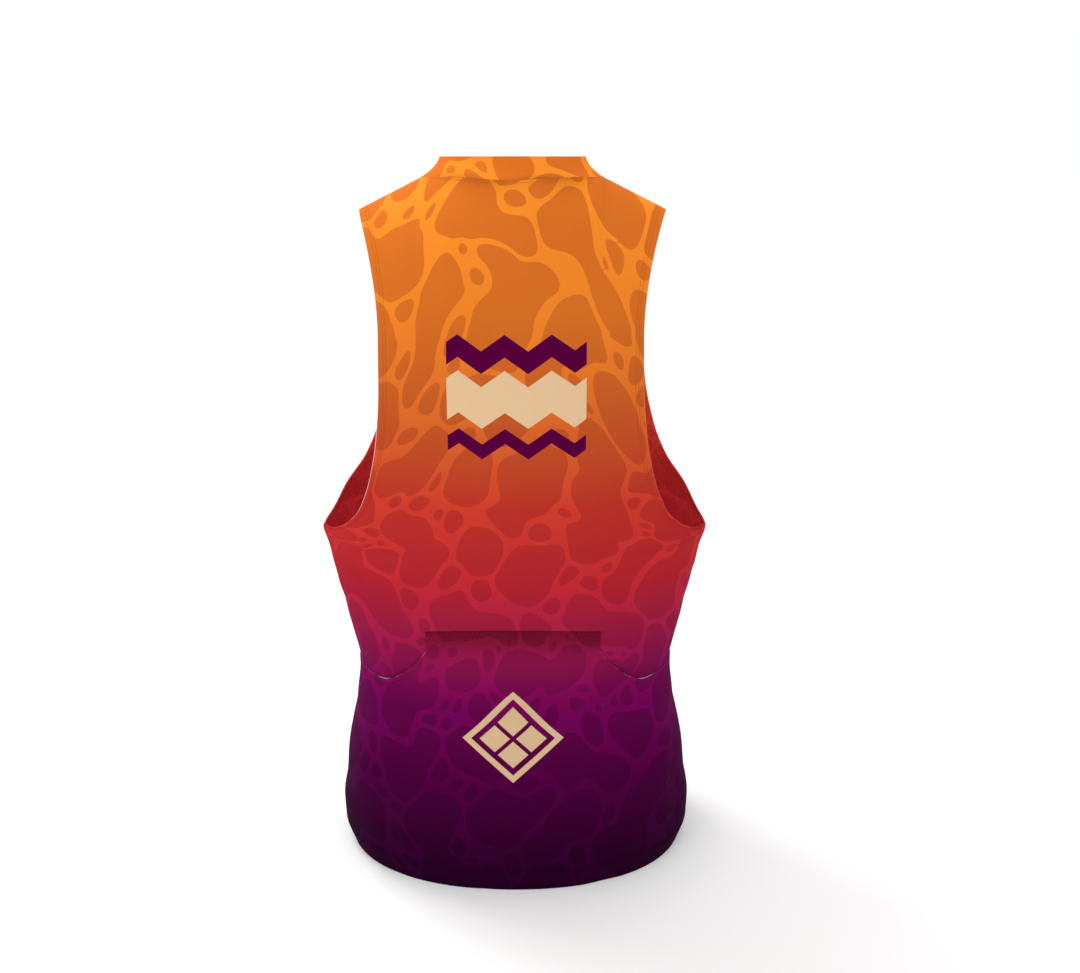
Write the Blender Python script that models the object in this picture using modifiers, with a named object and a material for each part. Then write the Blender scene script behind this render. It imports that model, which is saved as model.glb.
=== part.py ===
"""Sleeveless triathlon top with a stand collar, a short front zip and a wide back pocket.

The garment keeps the hollow form that a wearer gives it. Heights below are measured
from the hem in metres; +Z is up, the back faces +Y and the front faces -Y. The whole
garment hangs from an empty, so that the frame's origin lies inside the neck, level
with the shoulders that hold it up.
"""

import math

import bmesh
import bpy
import numpy as np

# ---------------------------------------------------------------- driving dimensions

HOLD_HEIGHT = 0.605          # the shoulders' level above the hem: the frame's origin
CLOTH = 0.0012               # wall of the knit
COLLAR_CLOTH = 0.0016        # the collar is doubled
SEAM_GAP = 0.0003            # clearance between two sewn pieces

UNDERARM_HEIGHT = 0.3115
BACK_YOKE_HEIGHT = 0.505     # the centre back above which the panel turns to the shoulders
FRONT_YOKE_HEIGHT = 0.475

NECK_HALF_WIDTH = 0.078
NECK_POINT_HEIGHT = 0.6215
SHOULDER_TIP_HALF_WIDTH = 0.1320
SHOULDER_TIP_HEIGHT = 0.5950
SHOULDER_LINE_DEPTH = 0.003  # the shoulder seam lies this far behind the side seams
NECK_BACK_DEPTH = 0.065
NECK_BACK_HEIGHT = 0.6200
NECK_FRONT_DEPTH = 0.080
NECK_FRONT_HEIGHT = 0.5700
NECK_SIDE_LIFT = 0.0022      # the neck seam rises a little between centre back and shoulder

RIM_HALF_WIDTH = 0.0625
RIM_BACK_DEPTH = 0.0500
RIM_FRONT_DEPTH = 0.0640
RIM_BACK_HEIGHT = 0.6390
RIM_FRONT_HEIGHT = 0.6020
CORNER_LIFT = 0.0006         # the collar clears the corner at each neck point by this much more
COLLAR_FLARE = 0.0035        # how far the collar hollows between its seam and its rim
SHOULDER_SLOPE = 0.49        # fall of the shoulders away from the neck
YOKE_FULLNESS = 1.12         # roundness of the turn from the back to the shoulders
UNDERARM_FLARE = 0.0050      # the cloth stands out at the armhole's lowest point
FLARE_REACH = 0.0130         # how far up and down that stretches
TIP_SPREAD = 0.12            # how much the armhole's edge turns outwards at the shoulder tip

ZIP_HALF_WIDTH = 0.0050
ZIP_BOTTOM_HEIGHT = 0.4200   # height of the short zip's lower end on the centre front
ZIP_WALL = 0.0022
ZIP_PROUD = 0.0006           # the coil stands this far outside the cloth
PULL_REST = math.radians(9)  # the hanging pull's tip leans in towards the coil by this much

TAB_SHARE = 0.363            # half of the pocket's tab, as a share of the half back
TAB_TOP_HEIGHT = 0.2448
TAB_ARCH = 0.0040            # the tab's seam drops this much towards its ends
TAB_FOOT_HEIGHT = 0.2235     # where the tab's upright sides meet the scooped edges
SCOOP_LOW_HEIGHT = 0.1860
SCOOP_HALF_WIDTH = 0.1260    # from here to the side the free edge runs level
SCOOP_POWER = 1.7
POCKET_FIXED_HEIGHT = 0.1550  # the pocket's rows below this run level
POUCH_DEPTH = 0.0090         # the pocket's greatest stand-off from the back
POUCH_SIDE_SHARE = 0.42      # it swells over this share of the half back from the side seam
POUCH_FOOT_HEIGHT = 0.100    # and over this height from the hem
POUCH_MOUTH_LOSS = 0.62      # share of its depth that it loses at the free edges
TUCK_DEPTH = 0.0030          # the tab's seam lies this far inside the cloth above it
TUCK_OVERHANG = 0.0012
TUCK_STEP = 0.0020           # the tuck takes this height

TAB_COLUMNS = 6
NECK_COLUMNS = 10
SIDE_COLUMNS = 15
COLLAR_ROWS = 4
YOKE_ROWS = 7

# Sections of the body, level with the hem. half_width is at the side seam.
SECTION_COLUMNS = ("height", "half_width", "back_square", "front_square")
SECTIONS = (
    (0.0000, 0.1612, 2.18, 2.10),
    (0.0200, 0.1678, 2.16, 2.12),
    (0.0400, 0.1683, 2.14, 2.14),
    (0.0670, 0.1638, 2.14, 2.16),
    (0.1000, 0.1602, 2.16, 2.18),
    (0.1230, 0.1555, 2.20, 2.20),
    (0.1480, 0.1499, 2.26, 2.22),
    (0.1800, 0.1471, 2.36, 2.24),
    (0.2040, 0.1501, 2.42, 2.24),
    (0.2330, 0.1557, 2.45, 2.24),
    (0.2500, 0.1585, 2.42, 2.24),
    (0.2660, 0.1642, 2.38, 2.24),
    (0.2800, 0.1676, 2.34, 2.24),
    (0.2960, 0.1699, 2.30, 2.24),
    (UNDERARM_HEIGHT, 0.1718, 2.25, 2.24),
)

# Depth of the centre back and of the centre front.
PROFILE_COLUMNS = ("height", "back", "front")
PROFILE = (
    (0.0000, 0.1165, 0.1040),
    (0.0350, 0.1172, 0.1065),
    (0.0800, 0.1130, 0.1070),
    (0.1300, 0.1060, 0.1045),
    (0.1800, 0.1005, 0.1015),
    (0.2250, 0.1000, 0.1020),
    (0.2700, 0.1050, 0.1080),
    (0.3115, 0.1120, 0.1160),
    (0.3600, 0.1200, 0.1230),
    (0.4100, 0.1255, 0.1250),
    (0.4600, 0.1265, 0.1190),
    (0.5050, 0.1225, 0.1080),
)

# Edges of the armholes. level is the height of the same row on the centre line.
EDGE_COLUMNS = ("level", "half_width", "depth", "height", "square")
BACK_ARMHOLE = (
    (UNDERARM_HEIGHT, 0.1718, 0.0000, 0.3115, 2.25),
    (0.3210, 0.1620, 0.0290, 0.3160, 2.24),
    (0.3330, 0.1484, 0.0500, 0.3260, 2.22),
    (0.3520, 0.1330, 0.0680, 0.3440, 2.20),
    (0.3880, 0.1190, 0.0840, 0.3800, 2.20),
    (0.4280, 0.1112, 0.0925, 0.4200, 2.20),
    (0.4660, 0.1080, 0.0955, 0.4600, 2.20),
    (BACK_YOKE_HEIGHT, 0.1078, 0.0900, 0.4980, 2.20),
)
FRONT_ARMHOLE = (
    (UNDERARM_HEIGHT, 0.1718, 0.0000, 0.3115, 2.24),
    (0.3240, 0.1712, 0.0240, 0.3170, 2.22),
    (0.3400, 0.1650, 0.0440, 0.3330, 2.20),
    (0.3640, 0.1462, 0.0680, 0.3600, 2.20),
    (0.3900, 0.1350, 0.0810, 0.3880, 2.20),
    (0.4300, 0.1260, 0.0900, 0.4320, 2.20),
    (FRONT_YOKE_HEIGHT, 0.1220, 0.0890, 0.4800, 2.20),
)

# How the cloth turns from the neck seam to the shoulder seam: its fall away from the neck at
# the centre, the column where the turn begins, the share of its climb left at the neck point,
# and where, over how many columns and by how much it is drawn tighter on the way.
TURN_COLUMNS = ("neck_slope", "turn_from", "climb", "tight_at", "tight_reach", "tightness")
TURNS = {
    "back": (1.70, 6, 0.50, 7.7, 1.9, 0.35),
    "front": (1.30, 2, 0.25, 7.0, 2.0, 0.10),
}

# Heights of the panels' rows on the centre line, from the hem to the yoke.
HEM_TO_TAB_ROWS = (
    0.0000, 0.0200, 0.0450, 0.0700, 0.0975, 0.1250, POCKET_FIXED_HEIGHT,
    SCOOP_LOW_HEIGHT, 0.2045, TAB_FOOT_HEIGHT, 0.2340,
)
ABOVE_TAB_ROWS = (0.2570, 0.2700, 0.2830, 0.2970, UNDERARM_HEIGHT)
BACK_ARMHOLE_ROWS = (
    0.3155, 0.3210, 0.3270, 0.3330, 0.3425, 0.3520, 0.3700, 0.3880, 0.4080, 0.4280, 0.4660,
)
FRONT_BODY_ROWS = (
    0.0000, 0.0200, 0.0450, 0.0700, 0.0975, 0.1250, 0.1550, 0.1860, 0.2150,
    0.2400, 0.2600, 0.2800, 0.2970, UNDERARM_HEIGHT,
)
FRONT_ARMHOLE_ROWS = (
    0.3170, 0.3240, 0.3320, 0.3400, 0.3520, 0.3640, 0.3900, ZIP_BOTTOM_HEIGHT, 0.4460,
)

# The hard pieces of the zip.
SLIDER_SIZE = (0.0074, 0.0026, 0.0100)   # across, outwards, along the zip
SLIDER_DROP = 0.0080                     # its middle below the collar's rim
CHEEK_SIZE = (0.0011, 0.0038, 0.0036)
CHEEK_SPACING = 0.0053
PIN_RADIUS = 0.0007
PIN_STAND = 0.0023                       # the pin's axis in front of the slider's face
PULL_EYE_RADIUS = 0.0018
PULL_EYE_BORE = 0.0010
PULL_EYE_LENGTH = 0.0036
PULL_SIZE = (0.0052, 0.0013, 0.0200)

ORANGE = (0.82, 0.26, 0.04)
CRIMSON = (0.46, 0.04, 0.05)
PLUM = (0.05, 0.002, 0.035)
BLACK_METAL = (0.02, 0.02, 0.022)


# ---------------------------------------------------------------- curves and tables

def column(table, names, wanted):
    """One named column of a table, as an array."""
    return np.array([row[names.index(wanted)] for row in table])


def smooth(xs, ys, at):
    """A cubic through the points (xs, ys) that never overshoots them."""
    xs = np.asarray(xs, float)
    ys = np.asarray(ys, float)
    step = np.diff(xs)
    slope = np.diff(ys) / step
    tangent = np.empty_like(ys)
    tangent[0], tangent[-1] = slope[0], slope[-1]
    same_way = slope[:-1] * slope[1:] > 0
    mean = 2 * slope[:-1] * slope[1:] / np.where(same_way, slope[:-1] + slope[1:], 1)
    tangent[1:-1] = np.where(same_way, mean, 0)
    at = np.clip(at, xs[0], xs[-1])
    k = np.clip(np.searchsorted(xs, at, side="right") - 1, 0, len(step) - 1)
    t = (at - xs[k]) / step[k]
    rise = ys[k] * (1 + 2 * t) * (1 - t) ** 2 + ys[k + 1] * t * t * (3 - 2 * t)
    turn = tangent[k] * t * (1 - t) ** 2 - tangent[k + 1] * t * t * (1 - t)
    return rise + step[k] * turn


def ease(t):
    """0 to 1 with level ends."""
    t = np.clip(t, 0, 1)
    return t * t * (3 - 2 * t)


def unit(vectors):
    """Vectors of length 1 along the last axis."""
    return vectors / np.linalg.norm(vectors, axis=-1, keepdims=True)


def spaced(curve, shares):
    """Points of a polyline at the given shares of its length."""
    steps = np.linalg.norm(np.diff(curve, axis=0), axis=1)
    along = np.concatenate([[0], np.cumsum(steps)])
    at = np.asarray(shares) * along[-1]
    return np.stack([np.interp(at, along, curve[:, axis]) for axis in range(3)], axis=1)


def half_section(edge, edge_depth, edge_height, depth, height, square, start=0.0):
    """Half a row, from x = start on the centre line out to the panel's edge."""
    reach = edge / (1 - (edge_depth / depth) ** square) ** (1 / square)
    first, last = (math.asin((x / reach) ** (square / 2)) for x in (start, edge))
    angle = np.linspace(first, last, 120)
    x = reach * np.sin(angle) ** (2 / square)
    y = depth * np.cos(angle).clip(0) ** (2 / square)
    z = height + (edge_height - height) * (x / edge) ** 2
    return np.stack([x, y, z], axis=1)


def hermite(start, end, leave, arrive, t):
    """Cubic from start to end with the given tangents, over the shares t."""
    t = t[:, None, None]
    return (
        start * (1 + 2 * t) * (1 - t) ** 2
        + end * t * t * (3 - 2 * t)
        + leave * t * (1 - t) ** 2
        - arrive * t * t * (1 - t)
    )


# ---------------------------------------------------------------- the garment's form

def column_shares():
    """Shares of a half row at which the columns stand, from the centre to the side."""
    tab = np.linspace(0, TAB_SHARE, TAB_COLUMNS + 1)
    rest = np.linspace(TAB_SHARE, 1, SIDE_COLUMNS - TAB_COLUMNS + 1)
    return np.concatenate([tab, rest[1:]])


def body_row(level, side, start=0.0):
    """Half a row of the body at the height level; side is back or front."""
    table = BACK_ARMHOLE if side == "back" else FRONT_ARMHOLE
    depth = smooth(
        column(PROFILE, PROFILE_COLUMNS, "height"), column(PROFILE, PROFILE_COLUMNS, side), level
    )
    if level <= UNDERARM_HEIGHT:
        heights = column(SECTIONS, SECTION_COLUMNS, "height")
        edge, square = (
            smooth(heights, column(SECTIONS, SECTION_COLUMNS, name), level)
            for name in ("half_width", side + "_square")
        )
        curve = half_section(edge, 0.0, level, depth, level, square, start)
    else:
        levels = column(table, EDGE_COLUMNS, "level")
        edge, edge_depth, height, square = (
            smooth(levels, column(table, EDGE_COLUMNS, name), level) for name in EDGE_COLUMNS[1:]
        )
        curve = half_section(edge, edge_depth, height, depth, level, square, start)
    row = spaced(curve, column_shares())
    near_side = ease((column_shares() - 0.72) / 0.28)
    near_level = math.exp(-(((level - UNDERARM_HEIGHT) / FLARE_REACH) ** 2))
    row[:, 0] += UNDERARM_FLARE * near_side * near_level
    return row


def neck_arc(side, start=0.0, count=NECK_COLUMNS):
    """Half the neck seam from the centre to the neck point, with y as a depth."""
    depth = NECK_BACK_DEPTH if side == "back" else NECK_FRONT_DEPTH
    height = NECK_BACK_HEIGHT if side == "back" else NECK_FRONT_HEIGHT
    line = SHOULDER_LINE_DEPTH if side == "back" else -SHOULDER_LINE_DEPTH
    angle = np.linspace(math.asin(start / NECK_HALF_WIDTH), math.pi / 2, 120)
    x = NECK_HALF_WIDTH * np.sin(angle)
    y = line + (depth - line) * np.cos(angle)
    fall = (NECK_POINT_HEIGHT - height) * np.cos(angle)
    z = NECK_POINT_HEIGHT - fall + NECK_SIDE_LIFT * np.sin(2 * angle)
    return spaced(np.stack([x, y, z], axis=1), np.linspace(0, 1, count + 1))


def top_row(side, start=0.0):
    """Half the upper edge of a panel: the neck seam, then the shoulder seam."""
    line = SHOULDER_LINE_DEPTH if side == "back" else -SHOULDER_LINE_DEPTH
    neck = neck_arc(side, start)
    tip = np.array([SHOULDER_TIP_HALF_WIDTH, line, SHOULDER_TIP_HEIGHT])
    share = np.linspace(0, 1, SIDE_COLUMNS - NECK_COLUMNS + 1)[1:, None]
    return np.concatenate([neck, neck[-1] * (1 - share) + tip * share])


def seam_arrival(side, turn, start=0.0):
    """Directions in which the columns of half a panel reach its neck and shoulder seams."""
    along = unit(np.gradient(neck_arc(side, start), axis=0))
    angle = np.linspace(0, math.pi / 2, NECK_COLUMNS + 1)
    slope = turn["neck_slope"] + (SHOULDER_SLOPE - turn["neck_slope"]) * np.sin(angle) ** 2
    away = unit(np.stack([np.sin(angle), np.cos(angle), -slope], axis=1))
    neck_way = unit(away[:, :1] * along - along[:, :1] * away)
    corner = neck_way[-1] * np.array([0.0, 1.0, turn["climb"]])
    tip = np.array([TIP_SPREAD, -1.0, 0.0])
    to_tip = ease(np.linspace(0, 1, SIDE_COLUMNS - NECK_COLUMNS + 1))[:, None]
    shoulder_way = unit(corner * (1 - to_tip) + tip * to_tip)
    turned = (np.arange(NECK_COLUMNS) - turn["turn_from"]) / (NECK_COLUMNS - turn["turn_from"])
    to_corner = ease(turned)[:, None]
    neck_way = unit(neck_way[:-1] * (1 - to_corner) + shoulder_way[0] * to_corner)
    return np.concatenate([neck_way, shoulder_way])


def yoke_rows(side, level, start=0.0):
    """Half rows from the yoke's level up to the neck and shoulder seams."""
    turn = dict(zip(TURN_COLUMNS, TURNS[side]))
    low = body_row(level, side, start)
    top = top_row(side, start)
    chord = np.linalg.norm(top - low, axis=1, keepdims=True)
    leave = unit(low - body_row(level - 0.004, side, start)) * chord * YOKE_FULLNESS
    from_tight = (np.arange(SIDE_COLUMNS + 1) - turn["tight_at"]) / turn["tight_reach"]
    fullness = YOKE_FULLNESS - turn["tightness"] * np.exp(-(from_tight ** 2))[:, None]
    arrive = seam_arrival(side, turn, start) * chord * fullness
    share = np.linspace(0, 1, YOKE_ROWS + 1)[1:]
    return list(hermite(low, top, leave, arrive, share))


def mirrored(halves, side, seam=True):
    """Whole rows from half rows, with y turned to the panel's side of the garment."""
    turn = 1.0 if side == "back" else -1.0
    right = np.array(halves) * np.array([1.0, turn, 1.0])
    left = right[:, ::-1] * np.array([-1.0, 1.0, 1.0])
    return np.concatenate([left, right[:, 1:] if seam else right], axis=1)


def normals_of(grid):
    """Unit normals of a grid of points, pointing out of the garment."""
    normal = unit(np.cross(np.gradient(grid, axis=1), np.gradient(grid, axis=0)))
    outward = grid * np.array([1.0, 1.0, 0.0])
    if (normal * outward).sum() < 0:
        normal = -normal
    return normal


def flattened(normals, axis):
    """Normals turned into the plane that the seam lies in."""
    normals = normals.copy()
    normals[..., axis] = 0.0
    return unit(normals)


# ---------------------------------------------------------------- solids

def cloth_wall(name, outer, inner, material, absent=()):
    """A closed wall between two grids of points, without the absent cells (row, column)."""
    rows, columns = outer.shape[:2]
    mesh = bmesh.new()
    skins = [
        [[mesh.verts.new(point) for point in row] for row in skin] for skin in (outer, inner)
    ]
    cells = {
        (i, j) for i in range(rows - 1) for j in range(columns - 1) if (i, j) not in absent
    }
    for i, j in cells:
        corners = ((i, j), (i, j + 1), (i + 1, j + 1), (i + 1, j))
        mesh.faces.new([skins[0][a][b] for a, b in corners])
        mesh.faces.new([skins[1][a][b] for a, b in reversed(corners)])
        beyond = ((i - 1, j), (i, j + 1), (i + 1, j), (i, j - 1))
        for k, neighbour in enumerate(beyond):
            if neighbour in cells:
                continue
            (a, b), (c, d) = corners[k], corners[(k + 1) % 4]
            mesh.faces.new([skins[0][c][d], skins[0][a][b], skins[1][a][b], skins[1][c][d]])
    loose = [vertex for vertex in mesh.verts if not vertex.link_faces]
    bmesh.ops.delete(mesh, geom=loose, context="VERTS")
    bmesh.ops.recalc_face_normals(mesh, faces=mesh.faces)
    data = bpy.data.meshes.new(name)
    mesh.to_mesh(data)
    mesh.free()
    data.shade_smooth()
    data.set_sharp_from_angle(angle=math.radians(40))
    return add_object(name, data, material)


def add_object(name, data, material):
    """Links a mesh as a named object of the garment, hung from the holder."""
    made = bpy.data.objects.new(name, data)
    made.data.materials.append(material)
    garment.objects.link(made)
    made.parent = holder
    return made


def finish(name, colour, roughness, metallic=0.0):
    """A plain Principled material."""
    material = bpy.data.materials.new(name)
    material.use_nodes = True
    shader = material.node_tree.nodes["Principled BSDF"]
    shader.inputs["Base Color"].default_value = (*colour, 1.0)
    shader.inputs["Roughness"].default_value = roughness
    shader.inputs["Metallic"].default_value = metallic
    return material


def back_rows():
    """Levels of the back's rows up to the yoke."""
    tuck = (TAB_TOP_HEIGHT, TAB_TOP_HEIGHT + TUCK_STEP)
    return HEM_TO_TAB_ROWS + tuck + ABOVE_TAB_ROWS + BACK_ARMHOLE_ROWS + (BACK_YOKE_HEIGHT,)


def arched(grid, levels):
    """Drops the rows near the tab's seam towards the tab's ends, as the seam is cut."""
    share = np.abs(np.linspace(-1, 1, grid.shape[1])) * SIDE_COLUMNS / TAB_COLUMNS
    drop = TAB_ARCH * np.clip(share, 0, 1) ** 2
    for i, level in enumerate(levels):
        if TAB_TOP_HEIGHT <= level <= TAB_TOP_HEIGHT + TUCK_STEP:
            grid[i, :, 2] -= drop
        elif TAB_FOOT_HEIGHT < level < TAB_TOP_HEIGHT:
            grid[i, :, 2] -= drop / 2
        elif TAB_TOP_HEIGHT < level <= ABOVE_TAB_ROWS[0]:
            grid[i, :, 2] -= drop / 2
    return grid


def back_inset(i, levels):
    """How far each column of row i of the back lies inside the garment's form."""
    level = levels[i]
    column_at = np.abs(np.arange(-SIDE_COLUMNS, SIDE_COLUMNS + 1))
    under = CLOTH + SEAM_GAP
    in_tab = column_at <= TAB_COLUMNS
    scoop = (1 - ease((level - SCOOP_LOW_HEIGHT) / (TAB_FOOT_HEIGHT - SCOOP_LOW_HEIGHT))) * under
    if level <= TAB_TOP_HEIGHT:
        tuck = ease((level - SCOOP_LOW_HEIGHT) / (TAB_TOP_HEIGHT - SCOOP_LOW_HEIGHT)) * TUCK_DEPTH
        return np.where(in_tab, under + tuck, scoop)
    fade = 1 - ease((level - TAB_TOP_HEIGHT - TUCK_STEP) / 0.035)
    return np.where(in_tab, -TUCK_OVERHANG * fade * (level < UNDERARM_HEIGHT), 0.0)


def scoop_height(x, tab_end):
    """Height of the pocket's free edge at the distance x from the centre, beside the tab."""
    q = np.clip((x - tab_end) / (SCOOP_HALF_WIDTH - tab_end), 0, 1)
    return SCOOP_LOW_HEIGHT + (TAB_FOOT_HEIGHT - SCOOP_LOW_HEIGHT) * (1 - q) ** SCOOP_POWER


def pouch(level, share):
    """Stand-off of the pocket from the back; share is 0 at the centre and 1 at the side."""
    sides = ease((1 - share) / POUCH_SIDE_SHARE)
    foot = ease(level / POUCH_FOOT_HEIGHT)
    mouth = 1 - POUCH_MOUTH_LOSS * ease((level - POCKET_FIXED_HEIGHT) / 0.031)
    head = 1 - ease((level - SCOOP_LOW_HEIGHT) / (TAB_TOP_HEIGHT - SCOOP_LOW_HEIGHT))
    return POUCH_DEPTH * sides * foot * mouth * head


def pocket_grid():
    """Outer points of the pocket and their stand-off, over the back's own columns."""
    levels = HEM_TO_TAB_ROWS + (TAB_TOP_HEIGHT,)
    share = np.abs(np.linspace(-1, 1, 2 * SIDE_COLUMNS + 1))
    share = column_shares()[np.round(share * SIDE_COLUMNS).astype(int)]
    foot_row = HEM_TO_TAB_ROWS.index(TAB_FOOT_HEIGHT)
    base = mirrored([body_row(level, "back") for level in levels], "back")
    tab_end = base[foot_row, SIDE_COLUMNS + TAB_COLUMNS, 0]
    grid = base.copy()
    for j in range(base.shape[1]):
        top = scoop_height(abs(base[foot_row, j, 0]), tab_end)
        for i, level in enumerate(levels[: foot_row + 1]):
            if level <= POCKET_FIXED_HEIGHT:
                continue
            part = (level - POCKET_FIXED_HEIGHT) / (TAB_FOOT_HEIGHT - POCKET_FIXED_HEIGHT)
            height = POCKET_FIXED_HEIGHT + part * (top - POCKET_FIXED_HEIGHT)
            grid[i, j] = [np.interp(height, base[:, j, 2], base[:, j, k]) for k in range(3)]
    grid = arched(grid, levels)
    inset = np.array([
        np.where(level > SCOOP_LOW_HEIGHT,
                 ease((level - SCOOP_LOW_HEIGHT) / (TAB_TOP_HEIGHT - SCOOP_LOW_HEIGHT)), 0)
        * TUCK_DEPTH * (share <= TAB_SHARE + 1e-6)
        for level in levels
    ])
    stand = np.array([pouch(grid[i, :, 2], share) for i in range(len(levels))])
    return grid, stand - inset, foot_row


def build_back():
    """Outer points of the back, and the levels of its rows up to the yoke."""
    levels = back_rows()
    halves = [body_row(level, "back") for level in levels]
    halves += yoke_rows("back", BACK_YOKE_HEIGHT)
    return arched(mirrored(halves, "back"), levels), levels


def build_front():
    """Outer points of the front, with a column at each side of the zip, and its levels."""
    levels = FRONT_BODY_ROWS + FRONT_ARMHOLE_ROWS + (FRONT_YOKE_HEIGHT,)
    start = ZIP_HALF_WIDTH
    halves = [body_row(level, "front", start) for level in levels]
    halves += yoke_rows("front", FRONT_YOKE_HEIGHT, start)
    return mirrored(halves, "front", seam=False), levels


def rim_point(x_share, side):
    """A point of the collar's rim; x_share is the sine of its angle round the neck."""
    cosine = math.sqrt(max(0.0, 1 - x_share * x_share))
    middle = (RIM_BACK_DEPTH - RIM_FRONT_DEPTH) / 2
    half_depth = (RIM_BACK_DEPTH + RIM_FRONT_DEPTH) / 2
    if side == "back":
        return (RIM_HALF_WIDTH * x_share, middle + half_depth * cosine, RIM_BACK_HEIGHT)
    drop = (RIM_BACK_HEIGHT - RIM_FRONT_HEIGHT) * ease(cosine)
    return (RIM_HALF_WIDTH * x_share, middle - half_depth * cosine, RIM_BACK_HEIGHT - drop)


def collar_grid():
    """Rows of the collar from its seam to its rim, from one side of the zip to the other."""
    front = neck_arc("front", ZIP_HALF_WIDTH)
    back = neck_arc("back")
    seam = [(x, -y, z) for x, y, z in front]
    seam += [tuple(point) for point in back[-2::-1]]
    rim = [rim_point(math.sin(math.asin(ZIP_HALF_WIDTH / RIM_HALF_WIDTH) * (1 - k / NECK_COLUMNS)
                              + math.pi / 2 * k / NECK_COLUMNS), "front")
           for k in range(NECK_COLUMNS + 1)]
    rim += [rim_point(math.sin(math.pi / 2 * k / NECK_COLUMNS), "back")
            for k in reversed(range(NECK_COLUMNS))]
    seam, rim = np.array(seam), np.array(rim)
    outward = unit((seam - rim) * np.array([1.0, 1.0, 0.0]))
    rows = []
    straight = ease((np.arange(len(seam)) - 1) / NECK_COLUMNS)[:, None]
    for t in np.linspace(0, 1, COLLAR_ROWS + 1):
        hollow = COLLAR_FLARE * straight * 4 * t * (1 - t)
        rows.append(seam * (1 - t) + rim * t - outward * hollow)
    half = np.array(rows)
    other = half[:, -2::-1] * np.array([-1.0, 1.0, 1.0])
    return np.concatenate([half, other], axis=1)


# ---------------------------------------------------------------- seams

def collar_partners():
    """Pairs (collar column, panel, panel column) that meet along the neck seam."""
    right_front = [(k, "front", SIDE_COLUMNS + 1 + k) for k in range(NECK_COLUMNS + 1)]
    back = [
        (k, "back", SIDE_COLUMNS + 2 * NECK_COLUMNS - k)
        for k in range(NECK_COLUMNS, 3 * NECK_COLUMNS + 1)
    ]
    left_front = [
        (k, "front", SIDE_COLUMNS - (4 * NECK_COLUMNS - k))
        for k in range(3 * NECK_COLUMNS, 4 * NECK_COLUMNS + 1)
    ]
    return right_front + back + left_front


def part_seams(grids):
    """Moves the edges of pieces that are sewn together apart by the seam gap."""
    back, front, collar = grids["back"], grids["front"], grids["collar"]
    moves = []
    for k, panel, j in collar_partners():
        grid = grids[panel]
        up = unit(collar[1, k] - collar[0, k])
        over = unit(grid[-1, j] - grid[-2, j])
        moves.append((k, panel, j, unit(up + over) * SEAM_GAP / 2))
    lifted = set()
    for k, panel, j, move in moves:
        grids[panel][-1, j] -= move
        if k not in lifted:
            from_corner = min(abs(k - NECK_COLUMNS), abs(k - 3 * NECK_COLUMNS))
            collar[0, k] += move + unit(move) * CORNER_LIFT * max(0.0, 1 - from_corner / 3)
            lifted.add(k)
    for grid, way in ((back, 1.0), (front, -1.0)):
        shift = way * SEAM_GAP / 2
        width = grid.shape[1]
        shoulder = SIDE_COLUMNS - NECK_COLUMNS
        grid[-1, :shoulder, 1] += shift
        grid[-1, width - shoulder:, 1] += shift
        sewn = grid[:, 0, 2] <= UNDERARM_HEIGHT + 1e-6
        grid[sewn, 0, 1] += shift
        grid[sewn, -1, 1] += shift


def seam_normals(grids):
    """Normals of the pieces, shared where they meet so that their edges are mitred."""
    normals = {name: normals_of(grid) for name, grid in grids.items()}
    back, front, collar = normals["back"], normals["front"], normals["collar"]
    front_zip = slice(SIDE_COLUMNS, SIDE_COLUMNS + 2)
    front[:, front_zip] = flattened(front[:, front_zip], 0)
    for column_at in (0, -1):
        collar[:, column_at] = flattened(collar[:, column_at], 0)
    for name in ("back", "front"):
        panel = normals[name]
        sewn = grids[name][:, 0, 2] <= UNDERARM_HEIGHT + 1e-6
        for edge in (0, -1):
            panel[sewn, edge] = flattened(panel[sewn, edge], 1)
        shoulder = SIDE_COLUMNS - NECK_COLUMNS
        panel[-1, :shoulder] = flattened(panel[-1, :shoulder], 1)
        panel[-1, -shoulder:] = flattened(panel[-1, -shoulder:], 1)
        panel[0] = flattened(panel[0], 2)
    total = collar[0].copy()
    for k, name, j in collar_partners():
        total[k] += normals[name][-1, j]
    total = unit(total)
    for k, name, j in collar_partners():
        normals[name][-1, j] = total[k]
    collar[0] = total
    return normals


# ---------------------------------------------------------------- pieces

def make_back(grid, levels, normal, material):
    """The back, from the hem to the shoulders, tucked in under the pocket's tab."""
    outer = grid.copy()
    for i in range(len(levels)):
        outer[i] -= normal[i] * back_inset(i, levels)[:, None]
    facing = normals_of(outer)
    for edge in (0, -1):
        facing[:, edge] = normal[:, edge]
    facing[0], facing[-1] = normal[0], normal[-1]
    return cloth_wall("back", outer, outer - CLOTH * facing, material)


def make_pocket(material):
    """The back pocket: sewn at its tab, sides and hem, open at the two scooped edges."""
    grid, stand, foot_row = pocket_grid()
    base_normal = normals_of(grid)
    for edge in (0, -1):
        base_normal[:, edge] = flattened(base_normal[:, edge], 1)
    base_normal[0] = flattened(base_normal[0], 2)
    outer = grid + base_normal * stand[:, :, None]
    outer[:, (0, -1), 1] += SEAM_GAP / 2
    outer[-1, :, 2] -= SEAM_GAP
    facing = normals_of(outer)
    for edge in (0, -1):
        facing[:, edge] = base_normal[:, edge]
    facing[0] = base_normal[0]
    beside_tab = {
        (i, j)
        for i in range(foot_row, grid.shape[0] - 1)
        for j in range(2 * SIDE_COLUMNS)
        if not SIDE_COLUMNS - TAB_COLUMNS <= j < SIDE_COLUMNS + TAB_COLUMNS
    }
    return cloth_wall("back_pocket", outer, outer - CLOTH * facing, material, beside_tab)


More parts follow.
